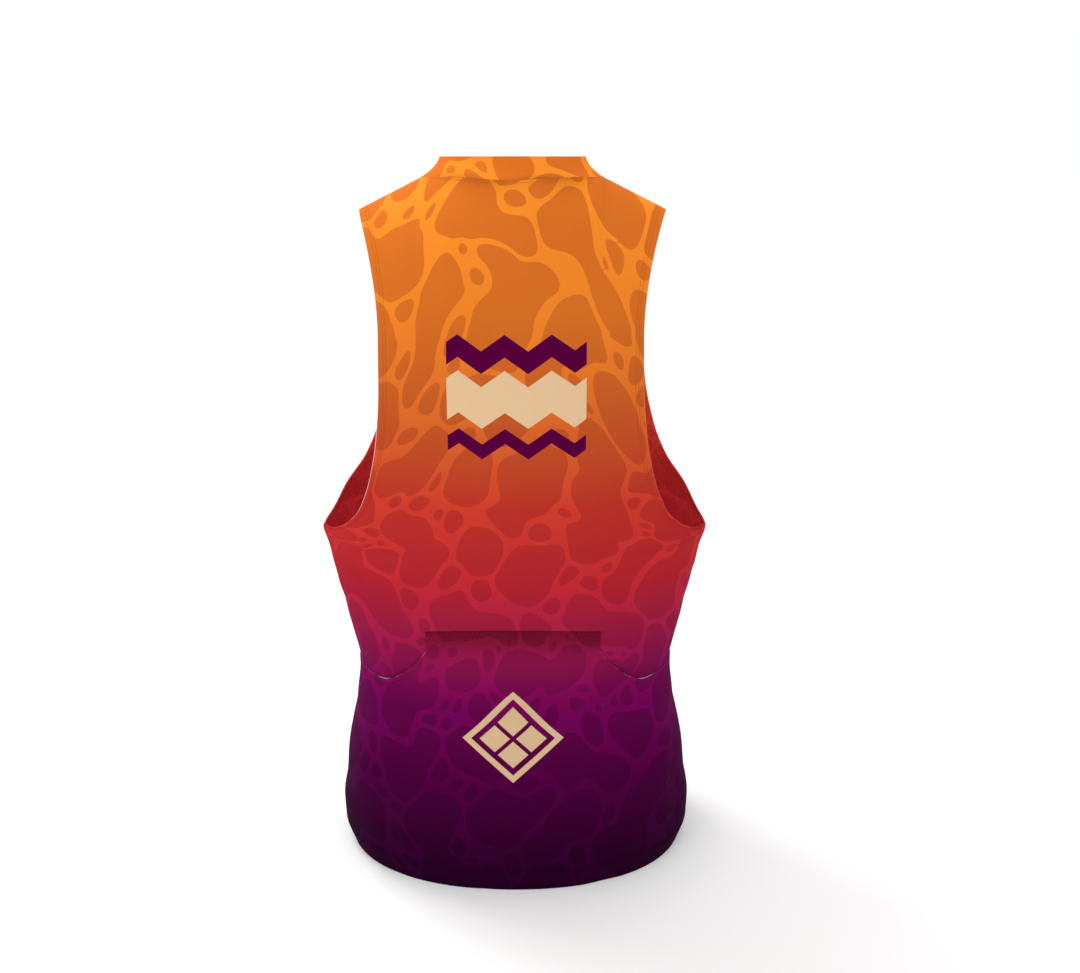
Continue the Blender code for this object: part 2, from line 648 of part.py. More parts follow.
def make_front(grid, normal, bottom_row, material):
    """The front in one piece, slit at the top of its centre line for the zip."""
    slit = {(i, SIDE_COLUMNS) for i in range(bottom_row, grid.shape[0] - 1)}
    return cloth_wall("front", grid, grid - CLOTH * normal, material, slit)


def make_collar(grid, normal, material):
    """The stand collar, a cone open at the zip."""
    return cloth_wall("collar", grid, grid - COLLAR_CLOTH * normal, material)


def make_zip(grids, normals, bottom_row, material):
    """The closed zip: a strip between the front's slit edges and on up the collar."""
    front = grids["front"][bottom_row:-1, SIDE_COLUMNS + 1]
    collar = grids["collar"][1:, 0]
    seam = (grids["front"][-1, SIDE_COLUMNS + 1] + grids["collar"][0, 0]) / 2
    line = np.concatenate([front, [seam], collar])
    line[0] += unit(line[1] - line[0]) * SEAM_GAP
    facing = np.concatenate([
        normals["front"][bottom_row:-1, SIDE_COLUMNS + 1],
        [normals["collar"][0, 0]],
        normals["collar"][1:, 0],
    ])
    half_width = ZIP_HALF_WIDTH - SEAM_GAP
    shares = np.array([-1.0, -0.5, 0.0, 0.5, 1.0])
    proud = ZIP_PROUD * np.array([0.0, 1.0, 1.0, 1.0, 0.0])
    outer = np.repeat(line[:, None], len(shares), axis=1)
    outer[:, :, 0] = shares * half_width
    inner = outer - facing[:, None] * ZIP_WALL
    outer = outer + facing[:, None] * proud[None, :, None]
    return cloth_wall("zip", outer, inner, material)


def box(size, centre):
    """A block as a bmesh, by its size and centre."""
    made = bmesh.new()
    bmesh.ops.create_cube(made, size=1.0)
    for vertex in made.verts:
        vertex.co = [c * s + m for c, s, m in zip(vertex.co, size, centre)]
    return made


def barrel(radius, length, segments, centre=(0.0, 0.0, 0.0)):
    """A cylinder along X as a bmesh."""
    made = bmesh.new()
    bmesh.ops.create_cone(
        made, cap_ends=True, segments=segments, radius1=radius, radius2=radius, depth=length
    )
    for vertex in made.verts:
        x, y, z = vertex.co
        vertex.co = (z + centre[0], y + centre[1], -x + centre[2])
    return made


def helper(name, shape):
    """A hidden object that a Boolean reads."""
    data = bpy.data.meshes.new(name)
    shape.to_mesh(data)
    shape.free()
    made = bpy.data.objects.new(name, data)
    tools.objects.link(made)
    made.hide_render = True
    made.display_type = "WIRE"
    return made


def solid(name, start, material, joins=(), cuts=(), bevel=0.0):
    """A named object that starts as one shape and takes Boolean joins and cuts."""
    data = bpy.data.meshes.new(name)
    start.to_mesh(data)
    start.free()
    made = add_object(name, data, material)
    steps = [("UNION", shape) for shape in joins] + [("DIFFERENCE", shape) for shape in cuts]
    for k, (operation, shape) in enumerate(steps):
        tool = helper(f"{name}_{operation.lower()}_{k}", shape)
        tool.parent = made
        change = made.modifiers.new(operation.title(), "BOOLEAN")
        change.operation = operation
        change.object = tool
    if bevel:
        rounding = made.modifiers.new("Rounding", "BEVEL")
        rounding.width = bevel
        rounding.segments = 1
        rounding.limit_method = "ANGLE"
        rounding.angle_limit = math.radians(60)
    return made


def make_slider(place, lean, material):
    """The zip's slider: a plate on the coil with two cheeks that hold the pull's pin."""
    width, depth, length = SLIDER_SIZE
    plate = box(SLIDER_SIZE, (0.0, 0.0, 0.0))
    face = -depth / 2
    cheek_middle = face - CHEEK_SIZE[1] / 2 + 0.0003
    cheeks = [
        box(CHEEK_SIZE, (way * CHEEK_SPACING / 2, cheek_middle, 0.0)) for way in (-1, 1)
    ]
    pin = barrel(PIN_RADIUS, CHEEK_SPACING, 12, (0.0, face - PIN_STAND, 0.0))
    slider = solid("zip_slider", plate, material, joins=cheeks + [pin])
    slider.location = place
    slider.rotation_euler.x = lean
    return slider


def make_pull(place, lean, material):
    """The pull tab, which turns about the slider's pin; its origin is on that axis."""
    width, depth, length = PULL_SIZE
    neck_length = 0.0040
    neck = box((PULL_EYE_LENGTH, depth, neck_length), (0.0, 0.0, -neck_length / 2))
    plate_length = length - 0.0034
    plate = box((width, depth, plate_length), (0.0, 0.0, -0.0034 - plate_length / 2))
    eye = barrel(PULL_EYE_RADIUS, PULL_EYE_LENGTH, 16)
    bore = barrel(PULL_EYE_BORE, 2 * PULL_EYE_LENGTH, 12)
    pull = solid("zip_pull", eye, material, joins=[neck, plate], cuts=[bore])
    pull.location = place
    pull.rotation_euler.x = lean
    return pull


# ---------------------------------------------------------------- assembly

for leftover in list(bpy.data.objects):
    bpy.data.objects.remove(leftover)

garment = bpy.data.collections.new("triathlon_top")
tools = bpy.data.collections.new("cutters")
for group in (garment, tools):
    bpy.context.scene.collection.children.link(group)
holder = bpy.data.objects.new("hem_level", None)
holder.location.z = -HOLD_HEIGHT
garment.objects.link(holder)

knit_back = finish("knit_back", CRIMSON, 0.75)
knit_front = finish("knit_front", CRIMSON, 0.75)
knit_collar = finish("knit_collar", ORANGE, 0.75)
knit_pocket = finish("knit_pocket", PLUM, 0.75)
zip_coil = finish("zip_coil", BLACK_METAL, 0.5)
zip_metal = finish("zip_metal", BLACK_METAL, 0.35, 0.6)

back_grid, back_levels = build_back()
front_grid, front_levels = build_front()
pieces = {"back": back_grid, "front": front_grid, "collar": collar_grid()}
part_seams(pieces)
facings = seam_normals(pieces)
zip_bottom = front_levels.index(ZIP_BOTTOM_HEIGHT)

make_back(pieces["back"], back_levels, facings["back"], knit_back)
make_pocket(knit_pocket)
make_front(pieces["front"], facings["front"], zip_bottom, knit_front)
make_collar(pieces["collar"], facings["collar"], knit_collar)
make_zip(pieces, facings, zip_bottom, zip_coil)

collar_line = pieces["collar"][:, 0]
slider_height = RIM_FRONT_HEIGHT - SLIDER_DROP
slider_depth = np.interp(slider_height, collar_line[:, 2], collar_line[:, 1])
rise = collar_line[-1] - collar_line[-2]
collar_lean = math.atan2(-rise[1], rise[2])
outwards = np.array([0.0, -math.cos(collar_lean), -math.sin(collar_lean)])
on_coil = np.array([0.0, slider_depth, slider_height])
slider_stand = ZIP_PROUD + SEAM_GAP + SLIDER_SIZE[1] / 2
slider_place = on_coil + outwards * slider_stand
pin_place = slider_place + outwards * (SLIDER_SIZE[1] / 2 + PIN_STAND)
make_slider(slider_place, collar_lean, zip_metal)
make_pull(pin_place, collar_lean + PULL_REST, zip_metal)
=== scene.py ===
"""Looks of a sleeveless triathlon top with a stand collar, a short front zip and a back pocket.

The cloth pieces follow the form of the solids, with finer rows and columns, soft creases and
sewing. Everything is in metres in the frame of the solids: +Z is up, the back faces +Y, the
front faces -Y, and the origin lies inside the neck. Heights named in the tables are measured
from the hem, HOLD_HEIGHT below the origin.
"""

from __future__ import annotations

import logging
import math
import random
from collections.abc import Callable, Iterator
from contextlib import contextmanager
from dataclasses import dataclass, field
from enum import Enum

import bmesh
import bpy
import numpy as np
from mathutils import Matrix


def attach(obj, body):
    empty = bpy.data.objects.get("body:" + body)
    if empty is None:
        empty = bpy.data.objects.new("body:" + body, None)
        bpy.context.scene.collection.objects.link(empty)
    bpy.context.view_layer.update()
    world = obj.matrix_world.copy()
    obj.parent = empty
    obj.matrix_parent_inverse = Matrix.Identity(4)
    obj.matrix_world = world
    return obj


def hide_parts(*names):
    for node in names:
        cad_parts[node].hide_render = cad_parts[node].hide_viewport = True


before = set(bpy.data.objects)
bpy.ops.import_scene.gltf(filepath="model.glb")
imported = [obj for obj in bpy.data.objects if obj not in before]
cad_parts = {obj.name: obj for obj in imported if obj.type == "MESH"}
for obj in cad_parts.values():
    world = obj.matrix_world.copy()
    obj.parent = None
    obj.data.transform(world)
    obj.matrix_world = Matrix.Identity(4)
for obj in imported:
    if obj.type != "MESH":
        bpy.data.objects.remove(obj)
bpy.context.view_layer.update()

LOG = logging.getLogger("triathlon_top")
MM = 0.001
HOLD_HEIGHT = 0.605      # the shoulders' level above the hem
TOTAL_HEIGHT = 0.64      # the collar's rim above the hem
CURVE_POINTS = 240       # of a curve that is measured before it is cut into columns
SMOOTHINGS = 6           # passes that even out the columns' spacing on the yoke
FADE_BESIDE = 0.030      # over which creases die out beside a side seam or an armhole
FADE_BELOW = 0.035       # and below the neck and shoulder seams
NEARLY = 1e-6
TINY = 1e-12

Array = np.ndarray
Object = bpy.types.Object
Material = bpy.types.Material
Socket = bpy.types.NodeSocket
Value = bpy.types.NodeSocket | float | tuple
Triple = tuple[float, float, float]
Shape = tuple[Array, Array]             # points and triangles
Row = tuple[Array, Array, float]        # a row of stitches: its points, its normals, its swing


class Side(Enum):
    """The two large panels."""

    BACK = "back"
    FRONT = "front"


class Motif(Enum):
    """Plain ornaments printed over the ground pattern."""

    NONE = "none"
    ZIGZAG = "zigzag"
    LOZENGE = "lozenge"


# ---------------------------------------------------------------- curves

def smooth(xs: Array, ys: Array, at: float | Array) -> Array:
    """A cubic through the points (xs, ys) that never overshoots them, read at given positions."""
    step = np.diff(xs)
    slope = np.diff(ys) / step
    tangent = np.empty_like(ys)
    tangent[0], tangent[-1] = slope[0], slope[-1]
    same_way = slope[:-1] * slope[1:] > 0
    mean = 2 * slope[:-1] * slope[1:] / np.where(same_way, slope[:-1] + slope[1:], 1)
    tangent[1:-1] = np.where(same_way, mean, 0)
    at = np.clip(at, xs[0], xs[-1])
    k = np.clip(np.searchsorted(xs, at, side="right") - 1, 0, len(step) - 1)
    t = (at - xs[k]) / step[k]
    rise = ys[k] * (1 + 2 * t) * (1 - t) ** 2 + ys[k + 1] * t * t * (3 - 2 * t)
    turn = tangent[k] * t * (1 - t) ** 2 - tangent[k + 1] * t * t * (1 - t)
    return rise + step[k] * turn


def ease(t: float | Array) -> Array:
    """0 to 1 with level ends."""
    t = np.clip(t, 0, 1)
    return t * t * (3 - 2 * t)


def unit(vectors: Array) -> Array:
    """Vectors of length 1 along the last axis."""
    return vectors / np.maximum(np.linalg.norm(vectors, axis=-1, keepdims=True), TINY)


def lengths_along(points: Array, axis: int) -> Array:
    """Length of each line of a grid up to each of its points; the lines run along the axis."""
    steps = np.linalg.norm(np.diff(points, axis=axis), axis=-1)
    return np.insert(np.cumsum(steps, axis=axis), 0, 0.0, axis=axis)


def read_rows(at: float | Array, places: Array, rows: Array) -> Array:
    """Rows of numbers that stand at the given places, read between them."""
    return np.stack([np.interp(at, places, column) for column in rows.T], axis=-1)


def at_lengths(line: Array, along: Array) -> Array:
    """Points of a polyline at the given lengths from its start."""
    return read_rows(along, lengths_along(line, 0), line)


def turn_about(count: int) -> Array:
    """1 and -1 in turn."""
    return np.where(np.arange(count) % 2 == 0, 1.0, -1.0)


def mirrored(half: Array) -> Array:
    """Half rows on the other side of the middle, in the opposite order."""
    return half[:, ::-1] * np.array([-1.0, 1.0, 1.0])


def normals_of(grid: Array) -> Array:
    """Unit normals of a grid of points, pointing out of the garment."""
    normal = unit(np.cross(np.gradient(grid, axis=1), np.gradient(grid, axis=0)))
    outward = grid * np.array([1.0, 1.0, 0.0])
    return -normal if (normal * outward).sum() < 0 else normal


def away_from_sides(grid: Array) -> Array:
    """0 at a grid's first and last columns, 1 a few centimetres away from them."""
    across = lengths_along(grid, 1)
    return ease(np.minimum(across, across[:, -1:] - across) / FADE_BESIDE)


def facing_of(outer: Array, normals: Array, kept_rows: list[int]) -> Array:
    """Normals of a creased skin, kept as they were along its sides and the given rows."""
    facing = normals_of(outer)
    facing[:, (0, -1)] = normals[:, (0, -1)]
    facing[kept_rows] = normals[kept_rows]
    return facing


def flattened(normals: Array, axis: int) -> Array:
    """Normals turned into the plane that a seam lies in."""
    normals = normals.copy()
    normals[..., axis] = 0.0
    return unit(normals)


def refined(levels: tuple[float, ...], step: float) -> Array:
    """The same levels with more between them, none further apart than step."""
    rows = [np.array(levels[:1])]
    for low, high in zip(levels, levels[1:]):
        count = max(1, math.ceil((high - low) / step))
        rows.append(np.linspace(low, high, count + 1)[1:])
    return np.concatenate(rows)


# ---------------------------------------------------------------- the garment's form

@dataclass(frozen=True)
class Turn:
    """How a panel's cloth turns from the neck seam to the shoulder seam.

    Fields: its fall away from the neck at the centre, the column where the turn begins, the
    share of its climb left at the neck point, and where, over how many columns and by how much
    it is drawn tighter on the way.
    """

    neck_slope: float
    turn_from: float
    climb: float
    tight_at: float
    tight_reach: float
    tightness: float


SECTION_COLUMNS = ("height", "half_width", "back_square", "front_square")
SECTIONS = np.array((
    (0.0000, 0.1612, 2.18, 2.10),
    (0.0200, 0.1678, 2.16, 2.12),
    (0.0400, 0.1683, 2.14, 2.14),
    (0.0670, 0.1638, 2.14, 2.16),
    (0.1000, 0.1602, 2.16, 2.18),
    (0.1230, 0.1555, 2.20, 2.20),
    (0.1480, 0.1499, 2.26, 2.22),
    (0.1800, 0.1471, 2.36, 2.24),
    (0.2040, 0.1501, 2.42, 2.24),
    (0.2330, 0.1557, 2.45, 2.24),
    (0.2500, 0.1585, 2.42, 2.24),
    (0.2660, 0.1642, 2.38, 2.24),
    (0.2800, 0.1676, 2.34, 2.24),
    (0.2960, 0.1699, 2.30, 2.24),
    (0.3115, 0.1718, 2.25, 2.24),
))
PROFILE_COLUMNS = ("height", "back", "front")
PROFILE = np.array((
    (0.0000, 0.1165, 0.1040),
    (0.0350, 0.1172, 0.1065),
    (0.0800, 0.1130, 0.1070),
    (0.1300, 0.1060, 0.1045),
    (0.1800, 0.1005, 0.1015),
    (0.2250, 0.1000, 0.1020),
    (0.2700, 0.1050, 0.1080),
    (0.3115, 0.1120, 0.1160),
    (0.3600, 0.1200, 0.1230),
    (0.4100, 0.1255, 0.1250),
    (0.4600, 0.1265, 0.1190),
    (0.5050, 0.1225, 0.1080),
))
EDGE_COLUMNS = ("level", "half_width", "depth", "height", "square")
ARMHOLES = {
    Side.BACK: np.array((
        (0.3115, 0.1718, 0.0000, 0.3115, 2.25),
        (0.3210, 0.1620, 0.0290, 0.3160, 2.24),
        (0.3330, 0.1484, 0.0500, 0.3260, 2.22),
        (0.3520, 0.1330, 0.0680, 0.3440, 2.20),
        (0.3880, 0.1190, 0.0840, 0.3800, 2.20),
        (0.4280, 0.1112, 0.0925, 0.4200, 2.20),
        (0.4660, 0.1080, 0.0955, 0.4600, 2.20),
        (0.5050, 0.1078, 0.0900, 0.4980, 2.20),
    )),
    Side.FRONT: np.array((
        (0.3115, 0.1718, 0.0000, 0.3115, 2.24),
        (0.3240, 0.1712, 0.0240, 0.3170, 2.22),
        (0.3400, 0.1650, 0.0440, 0.3330, 2.20),
        (0.3640, 0.1462, 0.0680, 0.3600, 2.20),
        (0.3900, 0.1350, 0.0810, 0.3880, 2.20),
        (0.4300, 0.1260, 0.0900, 0.4320, 2.20),
        (0.4750, 0.1220, 0.0890, 0.4800, 2.20),
    )),
}
YOKE_LEVEL = {Side.BACK: 0.505, Side.FRONT: 0.475}
NECK_DEPTH = {Side.BACK: 0.065, Side.FRONT: 0.080}
NECK_HEIGHT = {Side.BACK: 0.620, Side.FRONT: 0.570}
RIM_DEPTH = {Side.BACK: 0.0500, Side.FRONT: 0.0640}
RIM_HEIGHT = {Side.BACK: 0.6390, Side.FRONT: 0.6020}
TURNS = {
    Side.BACK: Turn(1.70, 6, 0.50, 7.7, 1.9, 0.35),
    Side.FRONT: Turn(1.30, 2, 0.25, 7.0, 2.0, 0.10),
}


@dataclass(frozen=True)
class Form:
    """The garment's form: every panel is a grid of points worked out from these sizes.

    Columns are counted from the centre line outwards: 0 to 10 end at the neck seam and 10 to
    15 at the shoulder seam, and per_column points are made for each of them.
    """

    per_column: int = 6
    row_step: float = 0.0026
    cloth: float = 0.0012
    collar_cloth: float = 0.0016
    seam_gap: float = 0.00016
    butt_gap: float = 0.00002        # between edges that are sewn together
    underarm: float = 0.3115
    neck_half_width: float = 0.078
    neck_point_height: float = 0.6215
    tip: tuple[float, float] = (0.1320, 0.5950)
    shoulder_line: float = 0.003
    neck_side_lift: float = 0.0022
    shoulder_slope: float = 0.49
    yoke_fullness: float = 1.12
    underarm_flare: float = 0.0050
    flare_reach: float = 0.0130
    flare_from: float = 0.72         # share of the half row
    flare_over: float = 0.28
    tip_spread: float = 0.12
    corner_lift: float = 0.0006
    zip_half_width: float = 0.0050
    zip_bottom: float = 0.4200
    neck_columns: int = 10
    side_columns: int = 15
    tab_columns: int = 6
    tab_share: float = 0.363

    def columns(self) -> Array:
        """Column positions of half a panel."""
        return np.linspace(0, self.side_columns, self.side_columns * self.per_column + 1)

    def shares(self, columns: Array) -> Array:
        """Shares of a half row at which the columns stand."""
        return np.interp(columns, (0, self.tab_columns, self.side_columns), (0, self.tab_share, 1))

    def body_row(self, level: float, side: Side, start: float = 0.0) -> Array:
        """Half a row of the body, from start beside the centre line outwards, y as a depth."""
        heights, depths = PROFILE[:, 0], PROFILE[:, PROFILE_COLUMNS.index(side.value)]
        depth = smooth(heights, depths, level)
        if level <= self.underarm:
            square_column = SECTION_COLUMNS.index(side.value + "_square")
            edge = smooth(SECTIONS[:, 0], SECTIONS[:, 1], level)
            square = smooth(SECTIONS[:, 0], SECTIONS[:, square_column], level)
            edge_depth, edge_height = 0.0, level
        else:
            table = ARMHOLES[side]
            edge, edge_depth, edge_height, square = (
                smooth(table[:, 0], table[:, k], level) for k in range(1, len(EDGE_COLUMNS)))
        reach = edge / (1 - (edge_depth / depth) ** square) ** (1 / square)
        first, last = (math.asin((x / reach) ** (square / 2)) for x in (start, edge))
        angle = np.linspace(first, last, CURVE_POINTS)
        x = reach * np.sin(angle) ** (2 / square)
        y = depth * np.cos(angle).clip(0) ** (2 / square)
        z = level + (edge_height - level) * (x / edge) ** 2
        curve = np.stack([x, y, z], axis=1)
        share = self.shares(self.columns())
        row = at_lengths(curve, share * lengths_along(curve, 0)[-1])
        near_level = math.exp(-(((level - self.underarm) / self.flare_reach) ** 2))
        near_side = ease((share - self.flare_from) / self.flare_over)
        row[:, 0] += self.underarm_flare * near_side * near_level
        return row

    def neck_arc(self, side: Side, start: float, shares: Array) -> Array:
        """Points of half the neck seam, from the centre to the neck point, y as a depth."""
        line = self.shoulder_line if side is Side.BACK else -self.shoulder_line
        angle = np.linspace(math.asin(start / self.neck_half_width), math.pi / 2, CURVE_POINTS)
        x = self.neck_half_width * np.sin(angle)
        y = line + (NECK_DEPTH[side] - line) * np.cos(angle)
        fall = (self.neck_point_height - NECK_HEIGHT[side]) * np.cos(angle)
        z = self.neck_point_height - fall + self.neck_side_lift * np.sin(2 * angle)
        arc = np.stack([x, y, z], axis=1)
        return at_lengths(arc, shares * lengths_along(arc, 0)[-1])

    def top_row(self, side: Side, start: float) -> Array:
        """Half the upper edge of a panel: the neck seam, then the shoulder seam."""
        line = self.shoulder_line if side is Side.BACK else -self.shoulder_line
        count = self.neck_columns * self.per_column
        neck = self.neck_arc(side, start, np.linspace(0, 1, count + 1))
        tip = np.array([self.tip[0], line, self.tip[1]])
        rest = (self.side_columns - self.neck_columns) * self.per_column
        share = np.linspace(0, 1, rest + 1)[1:, None]
        return np.concatenate([neck, neck[-1] * (1 - share) + tip * share])

    def seam_arrival(self, side: Side, start: float) -> Array:
        """Directions in which the columns of half a panel reach its neck and shoulder seams."""
        turn = TURNS[side]
        columns = self.columns()
        count = self.neck_columns * self.per_column
        along = unit(np.gradient(self.neck_arc(side, start, np.linspace(0, 1, count + 1)), axis=0))
        angle = columns[: count + 1] / self.neck_columns * math.pi / 2
        slope = turn.neck_slope + (self.shoulder_slope - turn.neck_slope) * np.sin(angle) ** 2
        away = unit(np.stack([np.sin(angle), np.cos(angle), -slope], axis=1))
        neck_way = unit(away[:, :1] * along - along[:, :1] * away)
        corner = neck_way[-1] * np.array([0.0, 1.0, turn.climb])
        tip = np.array([self.tip_spread, -1.0, 0.0])
        beyond = columns[count:] - self.neck_columns
        to_tip = ease(beyond / (self.side_columns - self.neck_columns))[:, None]
        shoulder_way = unit(corner * (1 - to_tip) + tip * to_tip)
        to_corner = ease((columns[:count] - turn.turn_from) / (self.neck_columns - turn.turn_from))
        mixed = neck_way[:-1] * (1 - to_corner[:, None]) + shoulder_way[0] * to_corner[:, None]
        return np.concatenate([unit(mixed), shoulder_way])

    def yoke_rows(self, side: Side, start: float, count: int) -> Array:
        """Half rows from the yoke's level up to the neck and shoulder seams."""
        turn = TURNS[side]
        level = YOKE_LEVEL[side]
        low = self.body_row(level, side, start)
        top = self.top_row(side, start)
        chord = np.linalg.norm(top - low, axis=1, keepdims=True)
        below = self.body_row(level - 0.004, side, start)
        leave = unit(low - below) * chord * self.yoke_fullness
        from_tight = (self.columns() - turn.tight_at) / turn.tight_reach
        fullness = self.yoke_fullness - turn.tightness * np.exp(-(from_tight ** 2))[:, None]
        arrive = self.seam_arrival(side, start) * chord * fullness
        t = np.linspace(0, 1, count + 1)[1:, None, None]
        rows = (low * (1 + 2 * t) * (1 - t) ** 2 + top * t * t * (3 - 2 * t)
                + leave * t * (1 - t) ** 2 - arrive * t * t * (1 - t))
        eased = 0.5 * np.clip((1 - t) / 0.08, 0, 1)          # none at the seam itself
        for _ in range(SMOOTHINGS):
            bend = (rows[:, :-2] + rows[:, 2:]) / 2 - rows[:, 1:-1]
            rows[:, 1:-1] += eased * bend
        return rows

    def panel(self, side: Side, levels: Array, yoke_count: int) -> Array:
        """A whole panel's grid from the hem to its upper seams, each row from -X to +X.

        The levels are the heights of its rows on the centre line, up to the yoke, and
        yoke_count more rows follow from there.
        """
        start = 0.0 if side is Side.BACK else self.zip_half_width
        body = np.array([self.body_row(level, side, start) for level in levels])
        half = np.concatenate([body, self.yoke_rows(side, start, yoke_count)])
        way = 1.0 if side is Side.BACK else -1.0
        right = half * np.array([1.0, way, 1.0])
        left = mirrored(right)
        if side is Side.BACK:
            return np.concatenate([left, right[:, 1:]], axis=1)
        share = np.linspace(0, 1, ZIP_COLUMNS + 1)[1:-1, None]
        middle = left[:, -1:] * (1 - share) + right[:, :1] * share
        return np.concatenate([left, middle, right], axis=1)


ZIP_COLUMNS = 4          # cells across the cloth below the zip
FORM = Form()


# ---------------------------------------------------------------- the printed ground pattern

@dataclass
class CellPrint:
    """Rounded cells parted by paler channels, packed at random in a panel's own plane.

    A cell is a disc, or a few neighbouring discs melted together: across, up, radius, group.
    """

    seed: int
    half_width: float = 0.24
    height: float = 0.72
    room: float = 0.0030             # between discs
    squash: float = 0.85             # heights are taken at this share, so cells are taller
    warp: float = 0.0060
    soft: float = 0.0064
    round_off: float = 1.9           # widening of the channels where cells' corners meet, in mm
    crowding: float = 3.6            # how near a third and fourth cell count as a corner, in mm
    reach: float = 9.4               # how far a cell grows past its disc, in mm
    blend: float = 2.3               # softness with which the lesser of two depths is taken
    joined: float = 0.75             # share of the large discs that look for a neighbour
    cells: list[tuple[float, float, float, int]] = field(default_factory=list)

    def __post_init__(self) -> None:
        """Packs the cells: large ones first, and smaller ones in what room is left."""
        draw = random.Random(self.seed)
        classes = ((0.0190, 0.0260, 1800), (0.0115, 0.0180, 5200), (0.0055, 0.0085, 5200),
                   (0.0031, 0.0042, 1300))
        for smallest, largest, tries in classes:
            for _ in range(tries):
                x = draw.uniform(-self.half_width, self.half_width)
                y = draw.uniform(-0.02, self.height)
                radius = draw.uniform(smallest, largest) * self.scale_at(y)
                if all(self.apart(x, y, cell) > radius + self.room for cell in self.cells):
                    self.cells.append((x, y, radius, len(self.cells)))
        self.join_neighbours(draw)

    def apart(self, x: float, y: float, cell: tuple[float, float, float, int]) -> float:
        """Distance from a point to a disc."""
        return math.hypot(x - cell[0], (y - cell[1]) * self.squash) - cell[2]

    @staticmethod
    def scale_at(height: float) -> float:
        """Cells are smaller round the pocket's upper edge."""
        return 1.0 - 0.35 * math.exp(-(((height - 0.19) / 0.05) ** 2))

    def join_neighbours(self, draw: random.Random) -> None:
        """Melts some neighbours into long, bent cells."""
        for x, y, radius, group in self.cells:
            if radius < 0.0085 or draw.random() > self.joined:
                continue
            near = sorted((self.apart(x, y, cell) - radius, m)
                          for m, cell in enumerate(self.cells)
                          if cell[3] != group and cell[2] > 0.008)
            other = near[0][1]
            size = sum(cell[3] == group for cell in self.cells)
            alone = sum(cell[3] == self.cells[other][3] for cell in self.cells) == 1
            if near[0][0] < 0.012 and size < 3 and alone:
                self.cells[other] = (*self.cells[other][:3], group)

    def field_at(self, u: Array, v: Array) -> Array:
        """About twice the distance into a cell from the middle of the channel round it, in mm.

        u and v are distances across and up the panel. They are bent by a long and a short wave
        each way, and cells are rounded off at the corners.
        """
        turn = 2 * math.pi
        bent_u = (u + self.warp * np.sin(turn * v / 0.110 + 1.3)
                  + 0.45 * self.warp * np.sin(turn * (u + 0.6 * v) / 0.062 + 4.0))
        bent_v = (v + self.warp * np.sin(turn * u / 0.096 + 2.1)
                  + 0.45 * self.warp * np.sin(turn * (v - 0.7 * u) / 0.058 + 0.5))
        across, up = bent_u.ravel(), bent_v.ravel() * self.squash
        groups: dict[int, Array] = {}
        for x, y, radius, group in self.cells:
            away = np.hypot(across - x, up - y * self.squash) - radius
            part = np.exp(-np.clip(away, -0.05, 0.4) / self.soft)
            groups[group] = groups.get(group, 0.0) + part
        depth = -self.soft * 1000 * np.log(np.stack(list(groups.values()), axis=1))
        near = np.sort(np.partition(depth, 3, axis=1)[:, :4], axis=1)
        crowd = np.exp(-(near[:, 2] - near[:, 1]) / self.crowding)
        crowd += 0.5 * np.exp(-(near[:, 3] - near[:, 1]) / self.crowding)
        between = near[:, 1] - near[:, 0] - self.round_off * crowd
        grown = self.reach - 2.0 * near[:, 0]
        lesser = -self.blend * np.log(np.exp(-between / self.blend) + np.exp(-grown / self.blend))
        return lesser.reshape(u.shape)


# ---------------------------------------------------------------- creases

CREASE_DEPTH = 1.5       # all creases together are this many times as deep as their rows say


@dataclass(frozen=True)
class Crease:
    """One soft trough or ridge, placed one by one.

    Fields: its middle across and up the panel, its length, its half width, its direction in
    degrees from level, and its depth, which is negative on a ridge. Metres, but depth in mm.
    """

    across: float
    up: float
    length: float
    width: float
    turn: float
    depth: float

    def depth_at(self, u: Array, v: Array) -> Array:
        """How far the cloth lies inside its form at (u, v), in metres."""
        angle = math.radians(self.turn)
        along = (u - self.across) * math.cos(angle) + (v - self.up) * math.sin(angle)
        beside = -(u - self.across) * math.sin(angle) + (v - self.up) * math.cos(angle)
        bowed = beside - 0.18 * self.width * np.cos(along / self.length * 3.1)
        fade = np.exp(-((2 * along / self.length) ** 4))
        return CREASE_DEPTH * self.depth * MM * np.exp(-((bowed / self.width) ** 2)) * fade


